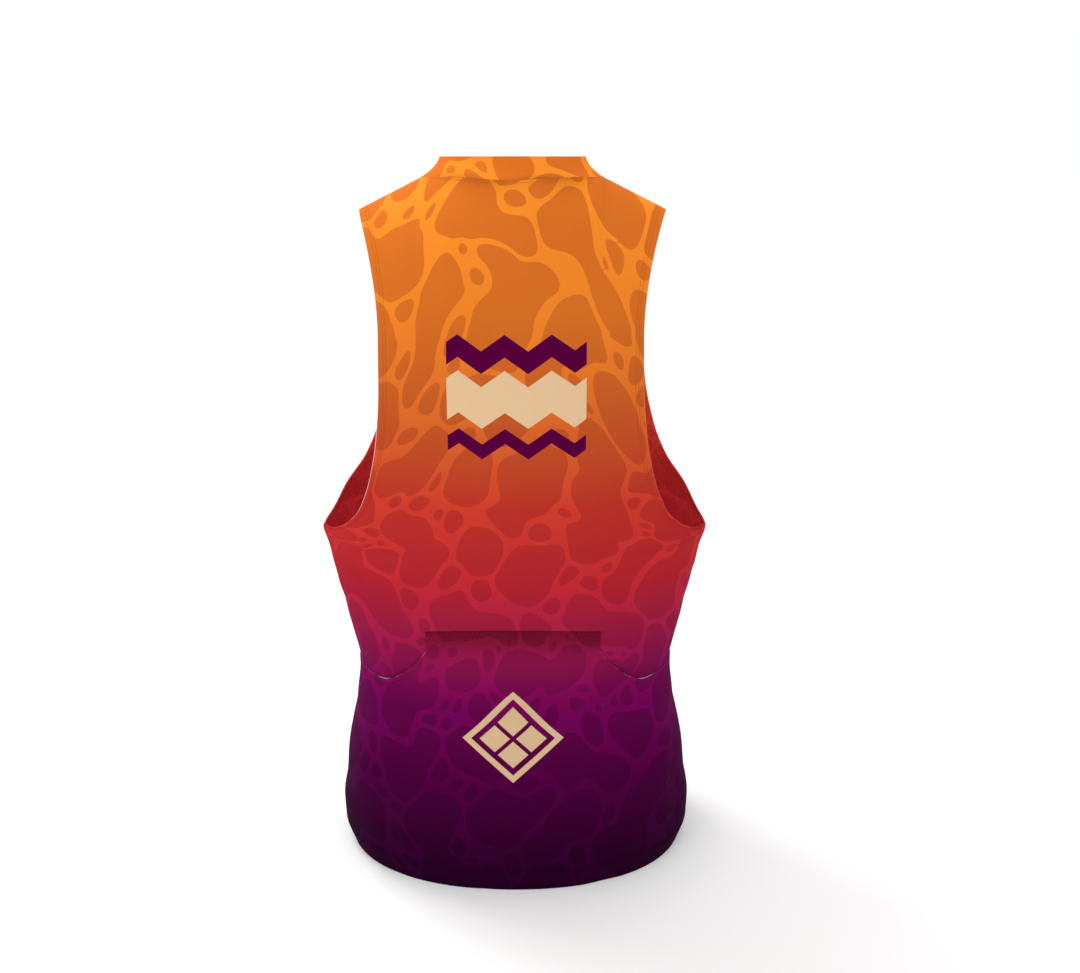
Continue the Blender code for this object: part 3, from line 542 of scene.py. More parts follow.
CREASES = {
    Side.BACK: (
        Crease(0.150, 0.288, 0.120, 0.0090, 24, 1.5),
        Crease(0.148, 0.268, 0.100, 0.0080, 15, 1.2),
        Crease(0.160, 0.303, 0.070, 0.0060, 38, 0.9),
        Crease(-0.152, 0.290, 0.110, 0.0085, -20, 1.4),
        Crease(-0.146, 0.265, 0.120, 0.0090, -12, 1.3),
        Crease(-0.118, 0.330, 0.090, 0.0075, -52, 0.9),
        Crease(0.112, 0.338, 0.080, 0.0070, 58, 0.8),
        Crease(0.020, 0.272, 0.170, 0.0095, 2, 0.9),
        Crease(-0.050, 0.291, 0.130, 0.0080, -4, 0.6),
        Crease(0.066, 0.560, 0.080, 0.0085, 68, 0.9),
        Crease(-0.070, 0.556, 0.090, 0.0090, -66, 1.0),
        Crease(0.120, 0.060, 0.100, 0.0120, 80, 1.2),
        Crease(-0.088, 0.052, 0.120, 0.0130, 96, 1.3),
        Crease(0.030, 0.045, 0.090, 0.0110, 86, 0.8),
        Crease(-0.160, 0.075, 0.090, 0.0110, 84, 1.0),
    ),
    Side.FRONT: (
        Crease(0.150, 0.290, 0.120, 0.0090, 22, 1.5),
        Crease(0.142, 0.266, 0.110, 0.0080, 12, 1.1),
        Crease(-0.150, 0.284, 0.110, 0.0085, -25, 1.5),
        Crease(-0.138, 0.262, 0.100, 0.0080, -10, 1.0),
        Crease(-0.122, 0.345, 0.090, 0.0075, -50, 1.1),
        Crease(0.126, 0.342, 0.085, 0.0075, 54, 1.0),
        Crease(0.030, 0.236, 0.150, 0.0090, -5, 0.9),
        Crease(-0.040, 0.258, 0.120, 0.0080, 6, 0.7),
        Crease(0.058, 0.470, 0.110, 0.0100, 72, 1.0),
        Crease(-0.064, 0.478, 0.100, 0.0090, -70, 1.1),
        Crease(0.105, 0.060, 0.110, 0.0120, 94, 1.2),
        Crease(-0.100, 0.066, 0.120, 0.0130, 83, 1.3),
        Crease(-0.012, 0.050, 0.090, 0.0110, 92, 0.8),
    ),
}


def crease_depth(side: Side, u: Array, v: Array) -> Array:
    """All of a panel's creases together, in metres into the garment."""
    return sum(crease.depth_at(u, v) for crease in CREASES[side])


# ---------------------------------------------------------------- node trees

def linear(colour: Triple) -> Triple:
    """A colour given as 0 to 255 in sRGB, as linear light."""
    def channel(value: float) -> float:
        """One channel."""
        value /= 255
        return value / 12.92 if value <= 0.04045 else ((value + 0.055) / 1.055) ** 2.4

    return tuple(channel(c) for c in colour)


class Board:
    """A material's node tree, with short calls for the nodes that the finishes use."""

    def __init__(self, name: str) -> None:
        """Makes a material with its Principled shader."""
        self.material = bpy.data.materials.new(name)
        self.material.use_nodes = True
        self.nodes = self.material.node_tree.nodes
        self.links = self.material.node_tree.links
        self.shader = self.nodes["Principled BSDF"]

    def put(self, socket: Socket, value: Value) -> None:
        """Sets a socket to a value or links it to another socket."""
        if isinstance(value, Socket):
            self.links.new(value, socket)
        elif isinstance(value, tuple) and len(value) == 3 and socket.type == "RGBA":
            socket.default_value = (*value, 1.0)
        else:
            socket.default_value = value

    def fill(self, node: bpy.types.Node, inputs: dict[int | str, Value]) -> None:
        """Sets or links a node's inputs, given by number or name."""
        for key, value in inputs.items():
            self.put(node.inputs[key], value)

    def add(self, kind: str, inputs: dict[int | str, Value], **settings: object) -> bpy.types.Node:
        """A new node with its settings and inputs."""
        node = self.nodes.new("ShaderNode" + kind)
        for name, value in settings.items():
            setattr(node, name, value)
        self.fill(node, inputs)
        return node

    def math(self, operation: str, a: Value, b: Value = 0.0, clamp: bool = False) -> Socket:
        """A Math node's result."""
        return self.add("Math", {0: a, 1: b}, operation=operation, use_clamp=clamp).outputs[0]

    def plus(self, a: Value, b: Value, clamp: bool = False) -> Socket:
        """The sum."""
        return self.math("ADD", a, b, clamp)

    def minus(self, a: Value, b: Value, clamp: bool = False) -> Socket:
        """The difference."""
        return self.math("SUBTRACT", a, b, clamp)

    def times(self, a: Value, b: Value) -> Socket:
        """The product."""
        return self.math("MULTIPLY", a, b)

    def scaled(self, value: Value, factor: float, offset: float) -> Socket:
        """The value times a factor, and an offset added."""
        return self.add("Math", {0: value, 1: factor, 2: offset},
                        operation="MULTIPLY_ADD", use_clamp=False).outputs[0]

    def step(self, value: Socket, low: Value, high: Value) -> Socket:
        """0 below low, 1 above high, smooth between."""
        return self.add("MapRange", {"Value": value, "From Min": low, "From Max": high},
                        interpolation_type="SMOOTHSTEP").outputs["Result"]

    def mix(self, share: Value, a: Value, b: Value, blend: str = "MIX") -> Socket:
        """A colour mix."""
        return self.add("Mix", {0: share, 6: a, 7: b},
                        data_type="RGBA", blend_type=blend).outputs[2]

    def toned(self, colour: Value, tone: Value) -> Socket:
        """A colour made darker or lighter by a number."""
        grey = self.add("CombineColor", {0: tone, 1: tone, 2: tone}).outputs[0]
        return self.mix(1.0, colour, grey, "MULTIPLY")

    def noise(self, vector: Socket, scale: float, detail: float = 2.0,
              roughness: float = 0.5) -> Socket:
        """A noise texture's factor."""
        return self.add("TexNoise", {"Vector": vector, "Scale": scale, "Detail": detail,
                                     "Roughness": roughness}).outputs["Fac"]

    def place(self) -> Socket:
        """Object coordinates."""
        return self.add("TexCoord", {}).outputs["Object"]

    def cut(self) -> list[Socket]:
        """The piece's own cut: distances across and along it, in metres."""
        return self.apart(self.add("UVMap", {}, uv_map="cut").outputs["UV"])[:2]

    def apart(self, vector: Socket) -> list[Socket]:
        """The three numbers of a vector."""
        return list(self.add("SeparateXYZ", {0: vector}).outputs)

    def attribute(self, name: str) -> Socket:
        """A number kept on the piece's points."""
        return self.add("Attribute", {}, attribute_name=name).outputs["Fac"]

    def height(self, z: Socket) -> Socket:
        """Height above the hem as a share of the whole."""
        return self.math("DIVIDE", self.plus(z, HOLD_HEIGHT), TOTAL_HEIGHT, clamp=True)

    def dyed(self, height: Socket, kind: int) -> Socket:
        """The print's colour at a height, darkened with painted shade near the hem: that of the
        cells (1) or of the channels (2).
        """
        node = self.add("ValToRGB", {})
        elements = node.color_ramp.elements
        for k, row in enumerate(sorted(DYES_AND_SHADE)):
            at = row[0] / TOTAL_HEIGHT
            element = elements[k] if k < 2 else elements.new(at)
            element.position = at
            element.color = (*linear(row[kind]), 1.0)
        self.put(node.inputs[0], height)
        return node.outputs["Color"]

    def bump(self, height: Socket, strength: float, distance: float) -> None:
        """Links a height to the shader's normal."""
        node = self.add("Bump", {"Strength": strength, "Distance": distance, "Height": height})
        self.put(self.shader.inputs["Normal"], node.outputs["Normal"])

    def finish(self, colour: Value, roughness: Value, sheen: float = 0.0,
               specular: float = 0.5, metallic: float = 0.0, ior: float = 1.5) -> Material:
        """Sets the shader's colour, roughness and plain numbers, and gives the material."""
        self.fill(self.shader, {
            "Base Color": colour, "Roughness": roughness, "Sheen Weight": sheen,
            "Sheen Roughness": 0.45, "Specular IOR Level": specular, "IOR": ior,
            "Metallic": metallic})
        return self.material


# ---------------------------------------------------------------- finishes

DYES_AND_SHADE = (                 # height above the hem, and the colours of cells and channels there; the lowest rows are darkened with painted shade
    (0.620, (217, 112, 36), (247, 142, 42)),
    (0.520, (202, 105, 34), (229, 126, 39)),
    (0.440, (184, 83, 35), (206, 100, 39)),
    (0.360, (175, 46, 37), (195, 56, 41)),
    (0.290, (166, 33, 43), (183, 39, 49)),
    (0.220, (128, 18, 64), (145, 21, 72)),
    (0.190, (108, 9, 68), (123, 9, 79)),
    (0.170, (90, 4, 66), (106, 4, 79)),
    (0.100, (63, 0, 50), (73, 0, 57)),
    (0.040, (43, 0, 37), (51, 0, 45)),
    (0.000, (34, 0, 30), (40, 0, 36)),
)
PURPLE = (80, 0, 54)
CREAM = (217, 183, 144)
YARN = (120, 62, 84)


@dataclass(frozen=True)
class PrintedKnit:
    """Smooth stretch knit with a dyed fade, a cell print, a fine V-shaped stitch and painted shade
    where a piece's 'shade' numbers ask for it.
    """

    name: str
    motif: Motif = Motif.NONE
    depth: float = 1.0               # how far the printed colours are taken towards black
    contrast: float = 1.0            # of the cell print
    grain: float = 0.16              # lightness of the yarn's speckle
    veil: float = 0.0                # share of undyed, shaded yarn that shows
    speck: float = 900.0             # fineness of the yarn's speckle
    wale: float = 0.00062
    course: float = 0.00050

    def build(self) -> Material:
        """The material."""
        board = Board(self.name)
        place = board.place()
        x, _, z = board.apart(place)
        height = board.height(z)
        cell, channel = board.dyed(height, 1), board.dyed(height, 2)
        channel_width = board.scaled(height, 0.9, 3.1)       # in mm, wider towards the neck
        inside = board.step(board.minus(board.attribute("cell"), channel_width), -0.5, 0.5)
        colour = board.mix(board.times(inside, self.contrast), channel, cell)
        if self.motif is Motif.ZIGZAG:
            colour = self.zigzags(board, colour, x, z)
        elif self.motif is Motif.LOZENGE:
            colour = self.lozenges(board, colour, x, z)
        if self.veil:
            colour = board.mix(self.veil, colour, linear(YARN))
        grain = board.noise(place, self.speck, 3.0, 0.7)
        cloud = board.noise(place, 16, 2.0)
        tone = board.scaled(grain, self.grain, self.depth - self.grain / 2)
        tone = board.plus(tone, board.times(cloud, 0.06))
        # Painted shade from the pieces' 'shade' numbers, broken up by a fine speckle.
        speckle = board.step(board.noise(place, 1300, 2.0, 0.8), 0.30, 0.70)
        shade = board.times(board.attribute("shade"), board.scaled(speckle, 0.8, 0.5))
        tone = board.times(tone, board.minus(1.0, shade, clamp=True))
        board.bump(board.plus(self.loops(board), board.times(grain, 0.5)), 0.35, 0.00012)
        return board.finish(board.toned(colour, tone), board.scaled(cloud, 0.10, 0.80),
                            sheen=0.005, specular=0.12, ior=1.12)

    def loops(self, board: Board) -> Socket:
        """Height of the knit: columns of V-shaped stitches."""
        across, along = board.cut()
        wale = board.math("PINGPONG", board.math("DIVIDE", across, self.wale), 0.5)
        turn = board.plus(board.math("DIVIDE", along, self.course), wale)
        wave = board.math("SINE", board.times(turn, 2 * math.pi))
        ridge = board.math("SINE", board.times(wale, 2 * math.pi))
        return board.plus(board.times(wave, 0.5), ridge)

    @staticmethod
    def band(board: Board, value: Socket, middle: float, half: float, blur: float) -> Socket:
        """1 within half of the middle, 0 beyond."""
        away = board.math("ABSOLUTE", board.minus(value, middle))
        return board.minus(1.0, board.step(away, half - blur, half + blur))

    def zigzags(self, board: Board, ground: Socket, x: Socket, z: Socket) -> Socket:
        """Three zigzag stripes across the upper back."""
        middle, half_width, period, rise, blur = -0.005, 0.0555, 0.037, 0.70, 0.0003
        wave = board.math("PINGPONG", board.plus(board.minus(x, middle), period / 4), period / 2)
        level = board.minus(z, board.times(wave, rise))
        within = self.band(board, x, middle, half_width, blur)
        colour = ground
        stripes = ((0.4895, 0.0088, PURPLE), (0.4535, 0.0168, CREAM), (0.4175, 0.0062, PURPLE))
        for height, half, dye in stripes:
            stripe = self.band(board, level, height - HOLD_HEIGHT - rise * period / 4, half, blur)
            colour = board.mix(board.times(stripe, within), colour, linear(dye))
        return colour

    def lozenges(self, board: Board, ground: Socket, x: Socket, z: Socket) -> Socket:
        """A lozenge frame with four small lozenges in it, on the middle of the pocket."""
        across, up, height, small, apart = 0.0445, 0.0400, 0.149, 0.30, 0.36
        dimming = board.scaled(board.noise(board.place(), 1600, 2.0, 0.9), 0.5, 0.62)
        dye = board.toned(linear(CREAM), dimming)
        rise = board.minus(z, height - HOLD_HEIGHT)

        def spread(dx: float, dz: float, scale: float) -> Socket:
            """Distance from a lozenge's middle as a share of its reach."""
            wide = board.math("ABSOLUTE", board.minus(x, dx * across))
            tall = board.math("ABSOLUTE", board.minus(rise, dz * up))
            return board.plus(board.math("DIVIDE", wide, across * scale),
                              board.math("DIVIDE", tall, up * scale))

        marks = self.band(board, spread(0, 0, 1.0), 0.91, 0.085, 0.006)
        for dx, dz in ((0, apart), (0, -apart), (apart, 0), (-apart, 0)):
            solid = board.minus(1.0, board.step(spread(dx, dz, small), 0.97, 1.03))
            marks = board.math("MAXIMUM", marks, solid)
        return board.mix(marks, ground, dye)


@dataclass(frozen=True)
class CutEdge:
    """The pale core of the knit, which shows along its cut edges."""

    name: str = "cut_edge"
    dyed: float = 0.25               # share of the print's colour that has gone through
    core: Triple = (226, 220, 218)

    def build(self) -> Material:
        """The material."""
        board = Board(self.name)
        place = board.place()
        x, y, z = board.apart(place)
        print_colour = board.dyed(board.height(z), 2)
        grain = board.noise(place, 700, 3.0, 0.7)
        share = board.scaled(grain, 0.9, self.dyed - 0.45)
        # The print's colour covers the cut edge on the armhole of the -X side, on the pocket's
        # edges in patches and towards their ends, and mostly on the front and near the shoulders.
        outer = board.step(board.math("ABSOLUTE", x), 0.112, 0.134)
        low = board.minus(1.0, board.step(z, -0.40, -0.36))
        gaps = board.step(board.noise(place, 80, 1.0), 0.46, 0.58)
        hidden = board.times(board.math("MAXIMUM", outer, gaps), low)
        other_arm = board.minus(1.0, board.step(x, -0.02, 0.02))
        other_arm = board.minus(other_arm, low, clamp=True)
        hidden = board.math("MAXIMUM", hidden, other_arm)
        front = board.minus(1.0, board.step(y, -0.005, 0.005))
        upper = board.math("MAXIMUM", front, board.step(z, -0.13, -0.07))
        hidden = board.math("MAXIMUM", hidden, board.times(upper, 0.6))
        share = board.plus(share, hidden, clamp=True)
        share = board.math("MAXIMUM", share, board.times(self.dyed, 1.2))
        board.bump(grain, 0.5, 0.0001)
        return board.finish(board.mix(share, linear(self.core), print_colour), 0.9)


@dataclass(frozen=True)
class Thread:
    """Textured sewing thread, dyed with the cloth it lies on."""

    name: str = "thread"

    def build(self) -> Material:
        """The material."""
        board = Board(self.name)
        place = board.place()
        colour = board.dyed(board.height(board.apart(place)[2]), 1)
        grain = board.noise(place, 2600, 2.0)
        board.bump(grain, 0.5, 0.0001)
        return board.finish(board.toned(colour, board.scaled(grain, 0.3, 0.75)), 0.75,
                            sheen=0.01, specular=0.12, ior=1.12)


@dataclass(frozen=True)
class Polymer:
    """Moulded nylon, or the woven tape that carries it."""

    name: str
    colour: Triple
    roughness: float
    weave: float = 0.0

    def build(self) -> Material:
        """The material."""
        board = Board(self.name)
        place = board.place()
        grain = height = board.noise(place, 1100, 2.0)
        dark = tuple(c * 0.7 for c in linear(self.colour))
        colour = board.mix(grain, dark, linear(self.colour))
        if self.weave:
            x, _, z = board.apart(place)
            warp, weft = (board.math("SINE", board.times(way, 2 * math.pi / self.weave))
                          for way in (x, z))
            height = board.times(warp, weft)
        board.bump(height, 0.4, 0.0001)
        return board.finish(colour, self.roughness)


@dataclass(frozen=True)
class Lacquer:
    """Black lacquered die-cast metal, rubbed brighter where it is handled."""

    name: str = "lacquered_metal"

    def build(self) -> Material:
        """The material."""
        board = Board(self.name)
        place = board.place()
        wear = board.step(board.noise(place, 420, 4.0, 0.6), 0.52, 0.72)
        colour = board.mix(wear, linear((34, 33, 36)), linear((70, 68, 72)))
        board.bump(board.noise(place, 1500, 2.0), 0.15, 0.00005)
        return board.finish(colour, board.scaled(wear, -0.12, 0.38), metallic=0.6)


# ---------------------------------------------------------------- meshes

def add_object(name: str, data: bpy.types.ID) -> Object:
    """Puts new data into the scene."""
    made = bpy.data.objects.new(name, data)
    bpy.context.collection.objects.link(made)
    return made


def add_mesh(name: str, points: Array, faces: Array, materials: list[Material],
             sharp: float | None = None) -> Object:
    """A smooth piece from points given above the hem, with edges sharp from an angle on."""
    mesh = bpy.data.meshes.new(name)
    mesh.from_pydata((points - np.array([0.0, 0.0, HOLD_HEIGHT])).tolist(), [], faces.tolist())
    for material in materials:
        mesh.materials.append(material)
    mesh.shade_smooth()
    if sharp is not None:
        mesh.set_sharp_from_angle(angle=math.radians(sharp))
    return add_object(name, mesh)


def add_copies(name: str, shape: Shape, bases: Array, middles: Array, material: Material,
               sharp: float | None = None) -> Object:
    """One piece of many copies of a shape, each turned to its basis and put in its place."""
    points, triangles = shape
    placed = np.einsum("mk,nkc->nmc", points, bases) + middles[:, None]
    first = (np.arange(len(bases)) * len(points))[:, None, None]
    return add_mesh(name, placed.reshape(-1, 3), (triangles + first).reshape(-1, 3), [material],
                    sharp)


def primitive(operator: Callable, **settings: object) -> Object:
    """A new basic shape, selected alone."""
    bpy.ops.object.select_all(action="DESELECT")
    operator(**settings)
    return bpy.context.object


@contextmanager
def editing() -> Iterator[None]:
    """Edit mode on the active shape, with all of it selected."""
    bpy.ops.object.mode_set(mode="EDIT")
    bpy.ops.mesh.select_all(action="SELECT")
    yield
    bpy.ops.object.mode_set(mode="OBJECT")


@contextmanager
def opened(made: Object) -> Iterator[bmesh.types.BMesh]:
    """A shape's mesh, open for changes."""
    mesh = bmesh.new()
    mesh.from_mesh(made.data)
    yield mesh
    mesh.to_mesh(made.data)
    mesh.free()


def laid_along_x() -> None:
    """Turns what is selected from Z to X."""
    bpy.ops.transform.rotate(value=math.pi / 2, orient_axis="Y", center_override=(0, 0, 0))


def taken(made: Object) -> Shape:
    """A shape's points and its triangles, in the same order each run; the object itself goes."""
    points = np.array([v.co for v in made.data.vertices])
    triangles = [np.array(p.vertices) for p in made.data.polygons]
    bpy.data.objects.remove(made)
    turned = [np.roll(corners, -corners.argmin()) for corners in triangles]
    return points, np.array(sorted(turned, key=tuple))


def block(size: Triple, centre: Triple, bevel: float, segments: int = 3) -> Object:
    """A block with rounded edges."""
    made = primitive(bpy.ops.mesh.primitive_cube_add, size=1.0, location=centre, scale=size)
    bpy.ops.object.transform_apply(location=True, rotation=False, scale=True)
    with editing():
        bpy.ops.mesh.bevel(offset=bevel, segments=segments, affect="EDGES")
    return made


def rod(radius: float, length: float, centre: Triple, sides: int = 24) -> Object:
    """A rod along X."""
    made = primitive(bpy.ops.mesh.primitive_cylinder_add, vertices=sides, radius=radius,
                     depth=length, location=centre, rotation=(0, math.pi / 2, 0))
    bpy.ops.object.transform_apply(location=True, rotation=True, scale=True)
    return made


def united(name: str, pieces: list[Object], cutters: list[Object]) -> Object:
    """Joins shapes into one body and cuts others out of it."""
    base = pieces[0]
    steps = [("UNION", piece) for piece in pieces[1:]]
    steps += [("DIFFERENCE", piece) for piece in cutters]
    select(base)
    for operation, piece in steps:
        change = base.modifiers.new(operation.title(), "BOOLEAN")
        change.operation = operation
        change.object = piece
        bpy.ops.object.modifier_apply(modifier=change.name)
        bpy.data.objects.remove(piece)
    base.name = name
    base.data.name = name
    return base


def select(made: Object) -> None:
    """Makes an object the only selected one and the active one."""
    bpy.ops.object.select_all(action="DESELECT")
    made.select_set(True)
    bpy.context.view_layer.objects.active = made


def settle(made: Object, place: Array, lean: float, material: Material) -> Object:
    """Turns and moves a finished shape to its place and gives it its material."""
    made.location = place
    made.rotation_euler = (lean, 0, 0)
    select(made)
    bpy.ops.object.transform_apply(location=True, rotation=True, scale=True)
    bpy.ops.object.shade_smooth_by_angle(angle=math.radians(35))
    made.data.materials.clear()
    made.data.materials.append(material)
    return made


@dataclass
class Cloth:
    """A cloth piece: two skins and the cut edge between them."""

    name: str
    outer: Array
    inner: Array
    u: Array
    v: Array
    printed: CellPrint
    shade: Array | None = None
    present: Array | None = None
    raw: Array | None = None

    def build(self, finishes: list[Material], length: float, width: float | None = None,
              area: float | None = None) -> Object:
        """Makes the piece, and works out the length, width and area of the cut it is made from;
        nothing uses them. its length, width and area.

        The finishes are those of the outside, the inside and the cut edge.
        """
        rows, columns = self.outer.shape[:2]
        cells = np.ones((rows - 1, columns - 1), bool) if self.present is None else self.present
        index = np.arange(rows * columns).reshape(rows, columns)
        inner_index = index + rows * columns
        outside = self.quads(index, cells)
        inside = self.quads(inner_index, cells)[:, ::-1]
        rim = self.rim(index, inner_index, cells)
        faces = np.concatenate([outside, inside, rim])
        points = np.concatenate([self.outer.reshape(-1, 3), self.inner.reshape(-1, 3)])
        used, faces = np.unique(faces, return_inverse=True)
        faces = faces.reshape(-1, 4)
        kinds = np.repeat([0, 1, 1], [len(outside), len(inside), len(rim)])
        if self.raw is not None:
            bare = self.raw.ravel()[rim[:, :2]].all(axis=1)
            kinds[len(outside) + len(inside):][bare] = 2
        points = points[used]
        first = points[faces[: len(outside)]]
        normal = np.cross(first[:, 1] - first[:, 0], first[:, 3] - first[:, 0])
        outward = first.mean(axis=1) * np.array([1.0, 1.0, 0.0])
        if (normal * outward).sum() < 0:
            faces = faces[:, ::-1]
        flat = [np.concatenate([a.ravel(), a.ravel()])[used] for a in (self.u, self.v)]
        depth = self.printed.field_at(self.u, self.v).ravel()
        values = {"cell": np.concatenate([depth, depth])[used]}
        shade = np.zeros(rows * columns) if self.shade is None else self.shade.ravel()
        values["shade"] = np.concatenate([shade, shade * 0])[used]
        made = self.make(points, faces, kinds, flat, values, finishes)
        width = width or float(np.ptp(self.u))
        area = area or area_of(self.outer, self.present)
        min(area, width * length)
        return made

    @staticmethod
    def quads(index: Array, cells: Array) -> Array:
        """Corner numbers of the cells that are there."""
        corners = (index[:-1, :-1], index[:-1, 1:], index[1:, 1:], index[1:, :-1])
        return np.stack([corner[cells] for corner in corners], axis=1)

    @staticmethod
    def rim(index: Array, inner: Array, cells: Array) -> Array:
        """Faces that close the wall along every free edge."""
        padded = np.pad(cells, 1)
        beyond = (padded[:-2, 1:-1], padded[1:-1, 2:], padded[2:, 1:-1], padded[1:-1, :-2])
        corners = ((0, 0), (0, 1), (1, 1), (1, 0))
        faces = []
        for k, neighbour in enumerate(beyond):
            (a, b), (c, d) = corners[k], corners[(k + 1) % 4]
            rows, columns = np.nonzero(cells & ~neighbour)
            start, end = (rows + a, columns + b), (rows + c, columns + d)
            faces.append(np.stack([index[end], index[start], inner[start], inner[end]], axis=1))
        return np.concatenate(faces)

    def make(self, points: Array, faces: Array, kinds: Array, flat: list[Array],
             values: dict[str, Array], finishes: list[Material]) -> Object:
        """Writes the arrays into a mesh object."""
        made = add_mesh(self.name, points, faces, finishes, 45)
        mesh = made.data
        mesh.polygons.foreach_set("material_index", kinds.astype(np.int32))
        layer = mesh.uv_layers.new(name="cut")
        layer.data.foreach_set("uv", np.stack([a[faces.ravel()] for a in flat], axis=1).ravel())
        for name, value in values.items():
            attribute = mesh.attributes.new(name, "FLOAT", "POINT")
            attribute.data.foreach_set("value", value.astype(np.float32))
        mesh.validate()
        return made


def area_of(grid: Array, present: Array | None = None) -> float:
    """Area of a grid's cells in square metres."""
    across = grid[:-1, 1:] - grid[:-1, :-1]
    up = grid[1:, :-1] - grid[:-1, :-1]
    cells = np.linalg.norm(np.cross(across, up), axis=2)
    return float(cells.sum() if present is None else cells[present].sum())


BEYOND = 1.1             # cut per distance past the yoke row's ends and the centre line's top


def cut_plane(grid: Array, centre: int, base: float = 0.0,
              yoke: int | None = None) -> tuple[Array, Array]:
    """Where each point of a grid lies in the piece's own plane: across and up, in metres.

    Distances across start at the centre column, and those up at base in the first row. Above
    the yoke's row they follow x and z, as that row and the centre line have them.
    """
    across = lengths_along(grid, 1)
    across = across - across[:, centre: centre + 1]
    if yoke is not None:
        x, row_x, row_u = grid[yoke:, :, 0], grid[yoke, :, 0], across[yoke]
        beyond = x - np.clip(x, row_x[0], row_x[-1])
        across[yoke:] = np.interp(x, row_x, row_u) + BEYOND * beyond
    up = lengths_along(grid, 0) + base
    if yoke is not None:
        z, middle_z, middle_v = grid[yoke:, :, 2], grid[yoke:, centre, 2], up[yoke:, centre]
        above = np.maximum(z - middle_z[-1], 0.0)
        up[yoke:] = up[yoke] + np.interp(z, middle_z, middle_v) - middle_v[0] + BEYOND * above
    return across, up


# ---------------------------------------------------------------- cloth pieces

SHADE_SPOTS = ((0.023, 0.024), (-0.047, 0.022))   # the middle and reach of each spot of painted shade under the collar
